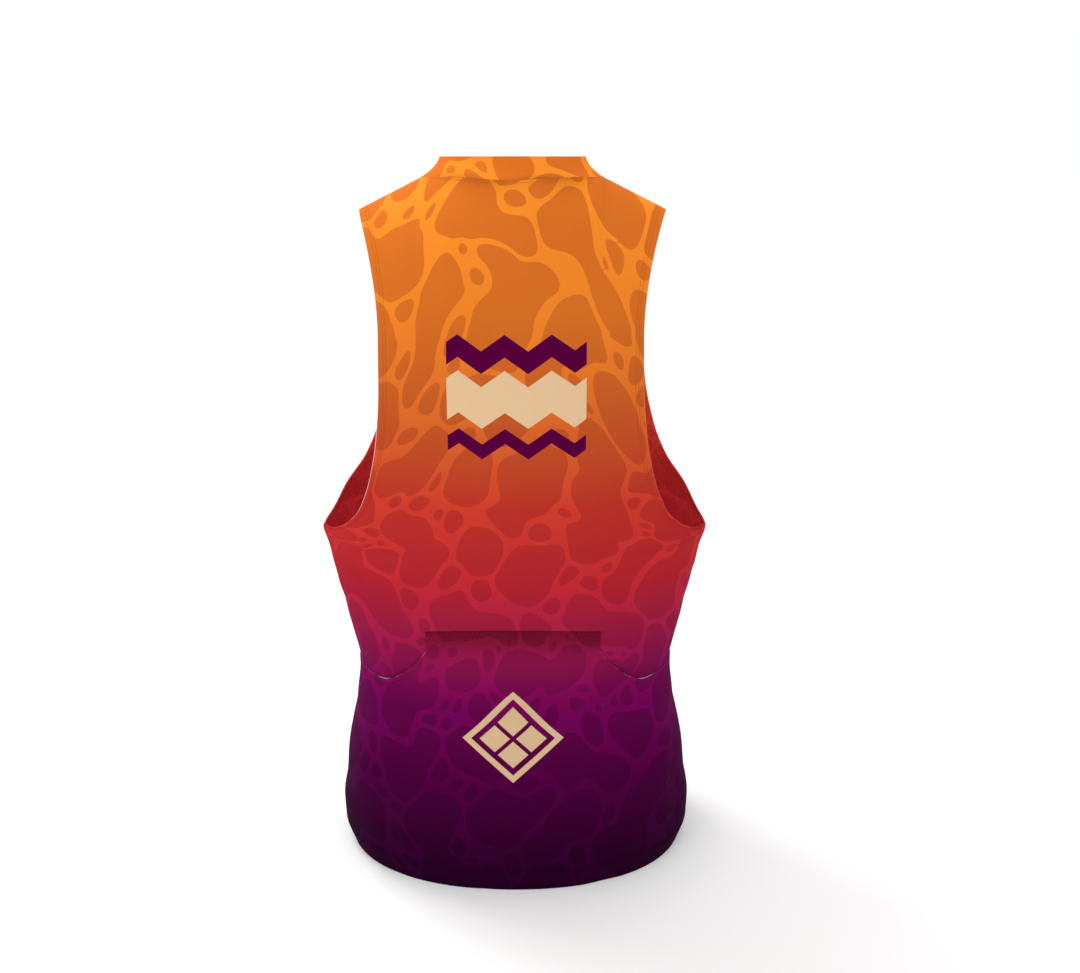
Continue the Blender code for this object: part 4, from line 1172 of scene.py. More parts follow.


@dataclass
class Panels:
    """The back, the front and the collar, which share their seams."""

    form: Form = FORM
    yoke_count: int = 46
    collar_rows: int = 16
    rim_half_width: float = 0.0625
    collar_flare: float = 0.0035
    tab_top: float = 0.2448
    tuck_step: float = 0.0020
    tab_arch: float = 0.0040
    tab_blend: float = 0.4           # columns beyond the tab over which its forms end
    tab_foot: float = 0.2235
    arch_end: float = 0.2700
    scoop_low: float = 0.1860
    tuck_depth: float = 0.0020
    tuck_overhang: float = 0.0008
    tuck_fade: float = 0.035
    edge_turn: float = 0.0019        # of the back's inner skin, out past its armhole edges
    turn_start: float = 0.015
    turn_top: float = 0.482
    turn_end: float = 0.03
    seam_allowance: float = 0.030
    collar_cut: float = 0.050
    collar_base: float = 0.640       # where the collar's print starts in its own plane
    arm_level: float = 0.3300        # a row that both panels have

    def __post_init__(self) -> None:
        """Works out the three grids, their shared normals and their cut."""
        form = self.form
        key_back = (0.0, self.scoop_low, self.tab_foot, self.tab_top)
        low = refined(key_back, form.row_step)
        step = np.linspace(self.tab_top, self.tab_top + self.tuck_step, 5)[1:]
        high = refined((self.tab_top + self.tuck_step, form.underarm, self.arm_level,
                        YOKE_LEVEL[Side.BACK]), form.row_step)[1:]
        self.back_levels = np.concatenate([low, step, high])
        self.front_levels = refined(
            (0.0, form.underarm, self.arm_level, form.zip_bottom, YOKE_LEVEL[Side.FRONT]),
            form.row_step)
        self.grids = {
            "back": self.arched(form.panel(Side.BACK, self.back_levels, self.yoke_count),
                                self.back_levels),
            "front": form.panel(Side.FRONT, self.front_levels, self.yoke_count),
            "collar": self.collar_grid(),
        }
        self.part_seams()
        self.normals = self.seam_normals()

    @property
    def sides(self) -> int:
        """Cells from the centre line to the side."""
        return self.form.side_columns * self.form.per_column

    @property
    def necks(self) -> int:
        """Cells from the centre line to the neck point."""
        return self.form.neck_columns * self.form.per_column

    def arch_weight(self, levels: Array) -> Array:
        """How fully each row takes part in the arch of the tab's seam."""
        at = (self.tab_foot, self.tab_top, self.tab_top + self.tuck_step, self.arch_end)
        return np.interp(levels, at, (0, 1, 1, 0))

    def columns_of(self, grid: Array) -> Array:
        """Column positions of a whole row, negative on the side of -X."""
        return np.linspace(-self.form.side_columns, self.form.side_columns, grid.shape[1])

    def in_tab(self, columns: Array) -> Array:
        """1 over the tab's columns, 0 beyond them."""
        end = self.form.tab_columns + self.tab_blend
        return np.clip((end - np.abs(columns)) / self.tab_blend, 0, 1)[None, :]

    def arched(self, grid: Array, levels: Array) -> Array:
        """Drops the rows near the tab's seam towards the tab's ends."""
        to_end = np.clip(np.abs(self.columns_of(grid)) / self.form.tab_columns, 0, 1)
        drop = self.tab_arch * to_end ** 2
        grid[: len(levels), :, 2] -= self.arch_weight(levels)[:, None] * drop
        return grid

    def rim_point(self, share: Array, side: Side) -> Array:
        """Points of the collar's rim, at sines of their angle round the neck."""
        cosine = np.sqrt(np.clip(1 - share * share, 0, None))
        middle = (RIM_DEPTH[Side.BACK] - RIM_DEPTH[Side.FRONT]) / 2
        half = (RIM_DEPTH[Side.BACK] + RIM_DEPTH[Side.FRONT]) / 2
        x = self.rim_half_width * share
        top = RIM_HEIGHT[Side.BACK]
        if side is Side.BACK:
            return np.stack([x, middle + half * cosine, np.full_like(x, top)], axis=1)
        drop = (top - RIM_HEIGHT[Side.FRONT]) * ease(cosine)
        return np.stack([x, middle - half * cosine, top - drop], axis=1)

    def collar_grid(self) -> Array:
        """Rows of the collar from its seam to its rim, from one side of the zip to the other."""
        form, count = self.form, self.necks
        shares = np.linspace(0, 1, count + 1)
        front = form.neck_arc(Side.FRONT, form.zip_half_width, shares) * np.array([1, -1, 1])
        back = form.neck_arc(Side.BACK, 0.0, shares)[-2::-1]
        seam = np.concatenate([front, back])
        first = math.asin(form.zip_half_width / self.rim_half_width)
        angle = first * (1 - shares) + math.pi / 2 * shares
        rim = np.concatenate([
            self.rim_point(np.sin(angle), Side.FRONT),
            self.rim_point(np.sin(math.pi / 2 * shares[-2::-1]), Side.BACK),
        ])
        outward = unit((seam - rim) * np.array([1.0, 1.0, 0.0]))
        column = np.arange(len(seam)) / form.per_column
        straight = ease((column - 1) / form.neck_columns)[:, None]
        rows = []
        for t in np.linspace(0, 1, self.collar_rows + 1):
            hollow = self.collar_flare * straight * 4 * t * (1 - t)
            rows.append(seam * (1 - t) + rim * t - outward * hollow)
        half = np.array(rows)
        return np.concatenate([half, mirrored(half[:, :-1])], axis=1)

    def partners(self) -> list[tuple[int, str, int]]:
        """Triples (collar column, panel, panel column) that meet along the neck seam."""
        count, sides = self.necks, self.sides
        right = sides + ZIP_COLUMNS
        pairs = [(k, "front", right + k) for k in range(count + 1)]
        pairs += [(k, "back", sides + 2 * count - k) for k in range(count, 3 * count + 1)]
        pairs += [(k, "front", sides - (4 * count - k)) for k in range(3 * count, 4 * count + 1)]
        return pairs

    def part_seams(self) -> None:
        """Moves the edges of pieces that are sewn together apart by the seam gap."""
        form, grids = self.form, self.grids
        collar, half_gap = grids["collar"], self.form.butt_gap / 2
        moves = []
        for k, name, j in self.partners():
            up = unit(collar[1, k] - collar[0, k])
            over = unit(grids[name][-1, j] - grids[name][-2, j])
            moves.append((k, name, j, unit(up + over) * half_gap))
        lifted: set[int] = set()
        for k, name, j, move in moves:
            grids[name][-1, j] -= move
            if k not in lifted:
                near = min(abs(k - self.necks), abs(k - 3 * self.necks)) / form.per_column
                collar[0, k] += move + unit(move) * form.corner_lift * max(0.0, 1 - near / 3)
                lifted.add(k)
        shoulder = self.sides - self.necks
        for name, way in (("back", 1.0), ("front", -1.0)):
            grid = grids[name]
            grid[-1, :shoulder, 1] += way * half_gap
            grid[-1, -shoulder:, 1] += way * half_gap
            sewn = grid[:, 0, 2] <= form.underarm + NEARLY
            grid[sewn, 0, 1] += way * half_gap
            grid[sewn, -1, 1] += way * half_gap

    def seam_normals(self) -> dict[str, Array]:
        """Normals of the pieces, shared where they meet so that their edges are mitred."""
        normals = {name: normals_of(grid) for name, grid in self.grids.items()}
        zip_edges = slice(self.sides, self.sides + ZIP_COLUMNS + 1)
        normals["front"][:, zip_edges] = flattened(normals["front"][:, zip_edges], 0)
        for column in (0, -1):
            normals["collar"][:, column] = flattened(normals["collar"][:, column], 0)
        shoulder = self.sides - self.necks
        for name in ("back", "front"):
            panel = normals[name]
            sewn = self.grids[name][:, 0, 2] <= self.form.underarm + NEARLY
            for edge in (0, -1):
                panel[sewn, edge] = flattened(panel[sewn, edge], 1)
            panel[-1, :shoulder] = flattened(panel[-1, :shoulder], 1)
            panel[-1, -shoulder:] = flattened(panel[-1, -shoulder:], 1)
            panel[0] = flattened(panel[0], 2)
        total = normals["collar"][0].copy()
        for k, name, j in self.partners():
            total[k] += normals[name][-1, j]
        total = unit(total)
        for k, name, j in self.partners():
            normals[name][-1, j] = total[k]
        normals["collar"][0] = total
        return normals

    def settle(self, grid: Array) -> Array:
        """0 at a panel's edges and 1 away from them, so that creases die out at the seams."""
        up = lengths_along(grid, 0)
        return away_from_sides(grid) * ease((up[-1:] - up) / FADE_BELOW)

    def back_inset(self, columns: Array) -> Array:
        """How far each point of the back's body rows lies inside the garment's form."""
        form = self.form
        levels = self.back_levels[:, None]
        under = form.cloth + form.seam_gap
        in_tab = self.in_tab(columns)
        to_foot = ease((levels - self.scoop_low) / (self.tab_foot - self.scoop_low))
        to_top = ease((levels - self.scoop_low) / (self.tab_top - self.scoop_low))
        below = in_tab * (under + to_top * self.tuck_depth) + (1 - in_tab) * (1 - to_foot) * under
        fade = 1 - ease((levels - self.tab_top - self.tuck_step) / self.tuck_fade)
        above = -in_tab * self.tuck_overhang * fade
        turned = ease((levels - self.tab_top) / self.tuck_step)
        return below * (1 - turned) + above * turned

    def armhole_edges(self, grid: Array) -> Array:
        """Marks the points of a panel's grid that lie on its armholes."""
        raw = np.zeros(grid.shape[:2], bool)
        raw[:, (0, -1)] = grid[:, (0, -1), 2] > self.form.underarm - NEARLY
        return raw

    def seam_shade(self, u: Array, v: Array, name: str) -> Array:
        """Painted shade close under the collar, and a broad patch of painted shade on the upper
        back.
        """
        top = v[-1:] - v
        if name == "front":
            return 0.16 * np.exp(-top / 0.009) * np.exp(-((u / 0.060) ** 4))
        # A broad patch of painted shade on the upper back.
        dimming = 0.07 * np.exp(-((u + 0.035) / 0.045) ** 2 - ((top - 0.045) / 0.050) ** 2)
        return 0.42 * np.exp(-top / 0.008) * self.spotted_shade(u) + dimming

    @staticmethod
    def spotted_shade(u: Array) -> Array:
        """How strongly painted shade darkens the seam under the collar, from side to side."""
        spots = sum(0.80 * np.exp(-((u - middle) / reach) ** 2) for middle, reach in SHADE_SPOTS)
        return (0.20 + spots) * np.exp(-((u / 0.075) ** 6))

    def build_back(self, printed: CellPrint, finishes: list[Material]) -> Object:
        """The back, from the hem to the shoulders, tucked in under the pocket's tab."""
        form, grid = self.form, self.grids["back"]
        u, v = cut_plane(grid, self.sides, yoke=len(self.back_levels) - 1)
        lift = np.zeros(grid.shape[:2])
        lift[: len(self.back_levels)] = self.back_inset(self.columns_of(grid))
        lift += crease_depth(Side.BACK, u, v) * self.settle(grid)
        outer = grid - self.normals["back"] * lift[:, :, None]
        facing = facing_of(outer, self.normals["back"], [0, -1])
        self.back_outer, self.back_facing = outer, facing
        inner = outer - form.cloth * facing
        for edge, beside in ((0, 1), (-1, -2)):
            height = grid[:, edge, 2]
            turned_out = (ease((height - form.underarm) / self.turn_start)
                          * ease((self.turn_top - height) / self.turn_end) * self.edge_turn)
            inner[:, edge] += unit(outer[:, edge] - outer[:, beside]) * turned_out[:, None]
        piece = Cloth("knit_back", outer, inner, u, v, printed,
                      self.seam_shade(u, v, "back"), raw=self.armhole_edges(grid))
        return piece.build(finishes, float(v[-1, self.sides]) + self.seam_allowance)

    def build_front(self, printed: CellPrint,
                    finishes: list[Material]) -> Object:
        """The front in one piece, slit at the top of its centre line for the zip."""
        form, grid = self.form, self.grids["front"]
        middle = self.sides + ZIP_COLUMNS // 2
        u, v = cut_plane(grid, middle, yoke=len(self.front_levels) - 1)
        away_from_zip = ease((np.abs(u) - 0.008) / 0.02)
        lift = crease_depth(Side.FRONT, u, v) * self.settle(grid) * away_from_zip
        outer = grid - self.normals["front"] * lift[:, :, None]
        present = np.ones((grid.shape[0] - 1, grid.shape[1] - 1), bool)
        self.slit_row = int(np.argmin(np.abs(self.front_levels - form.zip_bottom)))
        present[self.slit_row:, self.sides: self.sides + ZIP_COLUMNS] = False
        self.front_outer = outer
        piece = Cloth("knit_front", outer, outer - form.cloth * self.normals["front"], u, v,
                      printed, self.seam_shade(u, v, "front"), present,
                      self.armhole_edges(grid))
        return piece.build(finishes, float(v[-1, 0]) + self.seam_allowance)

    def build_collar(self, printed: CellPrint,
                     finishes: list[Material]) -> Object:
        """The stand collar, with a rolled rim."""
        form, grid, normal = self.form, self.grids["collar"], self.normals["collar"]
        u, v = cut_plane(grid, 2 * self.necks, self.collar_base)
        outer, inner = grid, grid - form.collar_cloth * normal
        up = unit(grid[-1] - grid[-2])
        half = form.collar_cloth / 2
        middle = (outer[-1] + inner[-1]) / 2 - up * half
        outer_rows, inner_rows = list(outer[:-1]), list(inner[:-1])
        for angle in np.linspace(0, math.pi / 2, 5):
            out, rise = math.cos(angle) * half, math.sin(angle) * half
            outer_rows.append(middle + normal[-1] * out + up * rise)
            inner_rows.append(middle - normal[-1] * out + up * (rise - NEARLY))
        extra = len(outer_rows) - len(grid)
        u = np.concatenate([u, np.repeat(u[-1:], extra, axis=0)])
        v = np.concatenate([v, np.repeat(v[-1:], extra, axis=0)])
        # Painted shade along the collar's seam, in the same spots as on the back.
        shade = 0.55 * np.exp(-(v - self.collar_base) / 0.0042) * self.spotted_shade(u)
        piece = Cloth("knit_collar", np.array(outer_rows), np.array(inner_rows), u, v, printed,
                      shade)
        return piece.build(finishes, self.collar_cut, area=area_of(grid))


@dataclass
class Pocket:
    """The back pocket: sewn at its tab, sides and hem, open at two scooped edges."""

    panels: Panels
    scoop_half_width: float = 0.1260
    scoop_power: float = 1.7
    fixed_height: float = 0.1550
    pouch_depth: float = 0.0090
    pouch_side_share: float = 0.42
    pouch_foot_height: float = 0.100
    pouch_mouth_loss: float = 0.82
    mouth_reach: float = 0.031
    closed_from: float = 0.52
    closed_over: float = 0.15
    cut_length: float = 0.250

    def stand(self, height: Array, share: Array) -> Array:
        """Stand-off of the pocket from the back at a height and a share of the half row."""
        low, top = self.panels.scoop_low, self.panels.tab_top
        sides = ease((1 - share) / self.pouch_side_share)
        foot = ease(height / self.pouch_foot_height)
        loss = self.pouch_mouth_loss
        loss = loss + (1 - loss) * ease((share - self.closed_from) / self.closed_over)
        mouth = 1 - loss * ease((height - self.fixed_height) / self.mouth_reach)
        head = 1 - ease((height - low) / (top - low))
        return self.pouch_depth * sides * foot * mouth * head

    def build(self, printed: CellPrint, finishes: list[Material]) -> Object:
        """Makes the pocket."""
        panels, form = self.panels, self.panels.form
        levels = refined((0.0, self.fixed_height, panels.tab_foot, panels.tab_top), form.row_step)
        half = np.array([form.body_row(level, Side.BACK) for level in levels])
        base = np.concatenate([mirrored(half), half[:, 1:]], axis=1)
        columns = panels.columns_of(base)
        self.foot_row = int(np.argmin(np.abs(levels - panels.tab_foot)))
        self.tab_cells = form.tab_columns * form.per_column
        grid, u, v = self.scooped(base, levels)
        grid = panels.arched(grid, levels)
        to_top = ease((levels[:, None] - panels.scoop_low) / (panels.tab_top - panels.scoop_low))
        inset = to_top * panels.tuck_depth * panels.in_tab(columns)
        share = np.tile(form.shares(np.abs(columns)), (len(levels), 1))
        stand = self.stand(grid[:, :, 2], share) - inset
        normal = normals_of(grid)
        for edge in (0, -1):
            normal[:, edge] = flattened(normal[:, edge], 1)
        normal[0] = flattened(normal[0], 2)
        creases = crease_depth(Side.BACK, u, v) * away_from_sides(base)
        outer = grid + normal * (stand - creases)[:, :, None]
        outer[:, (0, -1), 1] += form.butt_gap / 2
        outer[-1, :, 2] -= form.seam_gap
        self.outer, self.facing = outer, facing_of(outer, normal, [0])
        left, right = panels.sides - self.tab_cells, panels.sides + self.tab_cells
        present = np.ones((len(levels) - 1, base.shape[1] - 1), bool)
        present[self.foot_row:, :left] = present[self.foot_row:, right:] = False
        raw = np.zeros(base.shape[:2], bool)
        raw[self.foot_row, : left + 1] = raw[self.foot_row, right:] = True
        # Painted shade below the tab's seam, across the tab and fading downwards.
        in_width = 1 - ease((np.abs(columns)[None, :] - form.tab_columns) / 0.7)
        shade = 0.52 * np.exp(-(((grid[-1:, :, 2] - grid[:, :, 2]) / 0.0200) ** 3)) * in_width
        piece = Cloth("knit_back_pocket", outer, outer - form.cloth * self.facing, u, v, printed,
                      shade, present, raw)
        return piece.build(finishes, self.cut_length)

    def scooped(self, base: Array, levels: Array) -> tuple[Array, Array, Array]:
        """The pocket's grid, its rows drawn down to the scooped edges, and its cut."""
        panels, foot = self.panels, self.panels.tab_foot
        whole = np.concatenate([base, np.stack(cut_plane(base, panels.sides), axis=2)], axis=2)
        moved = (levels > self.fixed_height) & (levels <= foot + NEARLY)
        part = (levels[moved] - self.fixed_height) / (foot - self.fixed_height)
        grid = whole.copy()
        tab_end = base[self.foot_row, panels.sides + self.tab_cells, 0]
        for j, x in enumerate(np.abs(base[self.foot_row, :, 0])):
            reach = np.clip((x - tab_end) / (self.scoop_half_width - tab_end), 0, 1)
            top = panels.scoop_low + (foot - panels.scoop_low) * (1 - reach) ** self.scoop_power
            height = self.fixed_height + part * (top - self.fixed_height)
            grid[moved, j] = read_rows(height, base[:, j, 2], whole[:, j])
        return grid[:, :, :3], grid[:, :, 3], grid[:, :, 4]


# ---------------------------------------------------------------- sewing

@dataclass
class Sewing:
    """Rows of stitches, each a low bead of thread lying on the cloth."""

    length: float = 0.0021
    width: float = 0.00042
    height: float = 0.00030
    pitch: float = 0.0027
    reach: float = 0.0005            # how far to either side a stitch's direction is taken
    lifted: float = 0.25             # how far its middle is off the cloth, as a share of its height

    def bead(self) -> Shape:
        """One stitch, modelled once: its points and its triangles."""
        made = primitive(bpy.ops.mesh.primitive_uv_sphere_add, segments=6, ring_count=5,
                         radius=0.5)
        with editing():
            laid_along_x()
            bpy.ops.mesh.quads_convert_to_tris()
        points, faces = taken(made)
        square = np.sign(points) * np.abs(points) ** np.array([0.8, 1.0, 1.0])
        return square * np.array([self.length, self.width, self.height]), faces

    def sew(self, name: str, lines: list[Row], material: Material) -> Object:
        """Sews rows of stitches and joins them into one piece; a zigzag stitch has a swing."""
        bases, middles = [], []
        for line, normals, swing in lines:
            total = lengths_along(line, 0)[-1]
            along = np.arange(self.pitch / 2, total, self.pitch)
            if len(along) < 2:
                continue
            ahead = at_lengths(line, np.minimum(along + self.reach, total))
            behind = at_lengths(line, np.maximum(along - self.reach, 0))
            run = unit(ahead - behind)
            up = unit(read_rows(along, lengths_along(line, 0), normals))
            side = unit(np.cross(up, run))
            up = np.cross(run, side)
            if swing:
                way = turn_about(len(along))[:, None]
                run, side = unit(run + side * way * swing), unit(side - run * way * swing)
            bases.append(np.stack([run, side, up], axis=1))
            middles.append(at_lengths(line, along) + up * self.height * self.lifted)
        return add_copies(name, self.bead(), np.concatenate(bases), np.concatenate(middles),
                          material)


def beside_edge(grid: Array, normals: Array, rows: slice, away: float, from_end: bool,
                swing: float = 0.0) -> Row:
    """A row of stitches that runs away from a grid's first or last column."""
    way = -1 if from_end else 1
    points, ways = [], []
    for line, normal in zip(grid[rows, ::way], normals[rows, ::way]):
        total = lengths_along(line, 0)
        points.append(read_rows(away, total, line))
        ways.append(read_rows(away, total, normal))
    return np.array(points), np.array(ways), swing


def below_edge(grid: Array, normals: Array, columns: slice, away: float, from_top: bool,
               swing: float = 0.0) -> Row:
    """A row of stitches that runs away from a grid's first or last row."""
    turned, facing = grid.transpose(1, 0, 2), normals.transpose(1, 0, 2)
    return beside_edge(turned, facing, columns, away, from_top, swing)


@dataclass
class Seams:
    """All the garment's sewing, as rows along its seams and edges."""

    panels: Panels
    pocket: Pocket
    hem: tuple[float, float] = (0.0170, 0.0200)
    edge: tuple[float, float] = (0.0055, 0.0085)
    joint: float = 0.0016
    swing: float = 0.9               # of the stitches along the joints
    neck: float = 0.0022
    scoop: float = 0.0045
    closure: float = 0.0024
    short: int = 2                   # columns that a row stops short of a corner

    def build(self, material: Material) -> list[Object]:
        """Sews every seam and edge."""
        panels, pocket = self.panels, self.pocket
        back = (panels.back_outer, panels.back_facing)
        front = (panels.front_outer, panels.normals["front"])
        pouch = (pocket.outer, pocket.facing)
        ends = (False, True)
        shoulder, short = panels.sides - panels.necks, self.short
        zip_end = panels.sides + ZIP_COLUMNS
        sides = ((back, self.sewn_rows(back[0], pocket.fixed_height + pocket.mouth_reach)),
                 (front, self.sewn_rows(front[0], 0.0)),
                 (pouch, slice(0, pocket.foot_row)))
        under_collar = ((back, slice(shoulder + short, -shoulder - short)),
                        (front, slice(shoulder + short, panels.sides)),
                        (front, slice(zip_end, -shoulder - short)))
        rows = {
            "hem": [below_edge(*piece, slice(None), away, False)
                    for away in self.hem for piece in (front, pouch)],
            "armholes": [beside_edge(*piece, self.free_rows(piece[0]), away, end)
                         for piece in (back, front) for away in self.edge for end in ends],
            "joints": [below_edge(*piece, columns, self.joint, True, self.swing)
                       for piece in (back, front)
                       for columns in (slice(short, shoulder), slice(-shoulder, -short))]
            + [beside_edge(*piece, part, self.joint, end, self.swing)
               for piece, part in sides for end in ends],
            "neck": [below_edge(*piece, columns, self.neck, True)
                     for piece, columns in under_collar],
            "pocket": self.pocket_rows(),
            "zip": self.zip_rows(),
        }
        sewing = Sewing()
        return [sewing.sew("stitches_" + name, lines, material) for name, lines in rows.items()]

    def free_rows(self, grid: Array) -> slice:
        """The rows that end at the armholes."""
        free = np.nonzero(grid[:, 0, 2] > self.panels.form.underarm + NEARLY)[0]
        return slice(int(free[0]), None)

    def sewn_rows(self, grid: Array, low: float) -> slice:
        """The rows that end at the side seams, from a height on."""
        heights = grid[:, 0, 2]
        sewn = np.nonzero((heights <= self.panels.form.underarm) & (heights >= low))[0]
        return slice(int(sewn[0]), int(sewn[-1]) + 1)

    def pocket_rows(self) -> list[Row]:
        """Rows along the pocket's scooped edges; its tab is sewn from the inside."""
        pocket, middle = self.pocket, self.panels.sides
        rows = slice(0, pocket.foot_row + 1)
        return [below_edge(pocket.outer[rows], pocket.facing[rows], columns, self.scoop, True)
                for columns in (slice(3, middle - pocket.tab_cells),
                                slice(middle + pocket.tab_cells + 1, -3))]

    def zip_rows(self) -> list[Row]:
        """Rows along both sides of the zip."""
        panels = self.panels
        front, normals = panels.front_outer, panels.normals["front"]
        left, right = slice(0, panels.sides + 1), slice(panels.sides + ZIP_COLUMNS, None)
        lines = [beside_edge(front[:, half], normals[:, half], slice(panels.slit_row, -1),
                             self.closure, end) for half, end in ((left, True), (right, False))]
        collar = (panels.grids["collar"], panels.normals["collar"])
        return lines + [beside_edge(*collar, slice(1, -1), self.closure, end)
                        for end in (False, True)]


# ---------------------------------------------------------------- the zip

@dataclass
class Zip:
    """The closed zip: woven tapes, two rows of coil teeth, a slider and its pull."""

    panels: Panels
    wall: float = 0.0010
    proud: float = 0.0006
    tooth_pitch: float = 0.00125
    tooth_length: float = 0.0023
    tooth_radius: float = 0.00042
    tooth_overlap: float = 0.00062   # of a tooth's head past the middle line
    bare_end: float = 0.002          # of the tapes, without teeth
    slider_size: Triple = (0.0074, 0.0026, 0.0100)
    slider_drop: float = 0.0080
    cheek_size: Triple = (0.0011, 0.0038, 0.0036)
    cheek_spacing: float = 0.0053
    pin_radius: float = 0.0007
    pin_stand: float = 0.0023
    eye_radius: float = 0.0018
    eye_bore: float = 0.0010
    eye_length: float = 0.0036
    pull_size: Triple = (0.0052, 0.0013, 0.0200)
    pull_rest: float = math.radians(9)

    def __post_init__(self) -> None:
        """Works out the line of the zip and the places of its hard pieces."""
        panels, form = self.panels, self.panels.form
        right = panels.sides + ZIP_COLUMNS
        front = panels.front_outer[panels.slit_row: -1, right]
        collar = panels.grids["collar"][1:, 0]
        seam = (panels.front_outer[-1, right] + panels.grids["collar"][0, 0]) / 2
        self.line = np.concatenate([front, [seam], collar])
        self.line[0] += unit(self.line[1] - self.line[0]) * form.seam_gap
        self.facing = np.concatenate([
            panels.normals["front"][panels.slit_row: -1, right],
            panels.normals["collar"][0, :1], panels.normals["collar"][1:, 0]])
        height = RIM_HEIGHT[Side.FRONT] - self.slider_drop
        line = panels.grids["collar"][:, 0]
        rise = line[-1] - line[-2]
        self.lean = math.atan2(-rise[1], rise[2])
        outwards = np.array([0.0, -math.cos(self.lean), -math.sin(self.lean)])
        on_coil = np.array([0.0, np.interp(height, line[:, 2], line[:, 1]), height - HOLD_HEIGHT])
        stand = self.proud + form.seam_gap + self.slider_size[1] / 2
        self.slider_place = on_coil + outwards * stand
        self.pin_place = self.slider_place + outwards * (self.slider_size[1] / 2 + self.pin_stand)

    def build_tapes(self, tape: Material) -> Object:
        """The strip of two tapes with the coil's ridges."""
        form = self.panels.form
        half = form.zip_half_width - form.seam_gap
        across = np.array([-1.0, -0.8, -0.62, -0.55, -0.2, 0.0, 0.2, 0.55, 0.62, 0.8, 1.0]) * half
        raised = np.array([0.0, 0.0, 0.1, 0.25, 0.25, 0.12, 0.25, 0.25, 0.1, 0.0, 0.0])
        flat = np.repeat(self.line[:, None], len(across), axis=1)
        flat[:, :, 0] = across
        outer = flat + self.facing[:, None] * (raised * self.proud)[None, :, None]
        inner = flat - self.facing[:, None] * self.wall
        u, v = cut_plane(outer, len(across) // 2)
        piece = Cloth("zip_tapes", outer, inner, u, v, CellPrint(1))
        return piece.build([tape, tape, tape], float(lengths_along(self.line, 0)[-1]),
                           2 * form.zip_half_width)

    def tooth(self) -> Shape:
        """One loop of the coil, modelled once: a bar with a round head."""
        made = primitive(bpy.ops.mesh.primitive_cylinder_add, vertices=8,
                         radius=self.tooth_radius, depth=self.tooth_length)
        with editing():
            bpy.ops.mesh.bevel(offset=self.tooth_radius / 3, segments=1, affect="EDGES")
            laid_along_x()
        with opened(made) as mesh:
            for vertex in mesh.verts:
                share = vertex.co.x / self.tooth_length + 0.5
                vertex.co.z *= 1 + 0.25 * float(ease((share - 0.62) / 0.3))
            bmesh.ops.recalc_face_normals(mesh, faces=mesh.faces)
            bmesh.ops.triangulate(mesh, faces=mesh.faces)
        points, faces = taken(made)
        back_from_middle = self.tooth_length / 2 - self.tooth_overlap
        return points - np.array([back_from_middle, 0.0, 0.0]), faces

    def build_teeth(self, coil: Material) -> Object:
        """Both rows of teeth, meshed with each other."""
        total = lengths_along(self.line, 0)[-1]
        along = np.arange(self.bare_end, total - self.bare_end, self.tooth_pitch / 2)
        at = at_lengths(self.line, along)
        up = unit(at_lengths(self.line, np.minimum(along + 0.001, total)) - at)
        out = unit(read_rows(along, lengths_along(self.line, 0), self.facing))
        way = turn_about(len(along))
        run = np.stack([way, 0 * way, 0 * way], axis=1)
        bases = np.stack([run, out, up * way[:, None]], axis=1)
        middles = at * np.array([0.0, 1.0, 1.0]) + out * (self.proud - self.tooth_radius)
        return add_copies("coil_teeth", self.tooth(), bases, middles, coil, 50)

    def build_slider(self, material: Material) -> Object:
        """The slider: a waisted plate, two cheeks and the pin between them."""
        _, depth, length = self.slider_size
        plate = block(self.slider_size, (0, 0, 0), 0.0006)
        with opened(plate) as mesh:
            long_edges = [e for e in mesh.edges if e.calc_length() > 0.6 * length]
            bmesh.ops.subdivide_edges(mesh, edges=long_edges, cuts=6, use_grid_fill=True)
            for vertex in mesh.verts:
                t = vertex.co.z / (length / 2)
                waist = math.exp(-((t + 0.15) / 0.3) ** 2)
                vertex.co.x *= 0.80 + 0.20 * max(0.0, t) ** 1.5 - 0.06 * waist
                if vertex.co.y < 0:
                    vertex.co.y *= 1 - 0.10 * t * t
        face = -depth / 2
        cheek_middle = face - self.cheek_size[1] / 2 + 0.0003
        cheeks = [block(self.cheek_size, (way * self.cheek_spacing / 2, cheek_middle, 0.0), 0.0003)
                  for way in (-1, 1)]
        pin = rod(self.pin_radius, self.cheek_spacing, (0.0, face - self.pin_stand, 0.0))
        made = united("slider", [plate, *cheeks, pin], [])
        return settle(made, self.slider_place, self.lean, material)

    def build_pull(self, material: Material) -> Object:
        """The pull: an eye, a neck and a plate with a slot and grip ribs."""
        width, depth, length = self.pull_size
        neck_length = 0.0034
        plate_length = length - neck_length
        middle = -neck_length - plate_length / 2
        eye = rod(self.eye_radius, self.eye_length, (0, 0, 0), 32)
        neck = block((self.eye_length, depth, 0.0048), (0, 0, -0.0024), 0.0002, 2)
        plate = block((width, depth, plate_length), (0, 0, middle), 0.0005)
        with opened(plate) as mesh:
            for vertex in mesh.verts:
                t = (vertex.co.z - middle) / (plate_length / 2)
                vertex.co.x *= 0.84 + 0.16 * float(ease((0.9 - t) / 1.2))
        bore = rod(self.eye_bore, 2 * self.eye_length, (0, 0, 0))
        slot = block((width * 0.42, 3 * depth, 0.0042), (0, 0, middle + 0.0030), 0.0006)
        ribs = [block((width * 0.62, 0.0006, 0.0005), (0, way * depth / 2, middle - drop),
                      0.00015, 1)
                for drop in (0.0022, 0.0034, 0.0046, 0.0058) for way in (-1, 1)]
        made = united("pull_tab", [eye, neck, plate], [bore, slot, *ribs])
        return settle(made, self.pin_place, self.lean + self.pull_rest, material)


# ---------------------------------------------------------------- studio

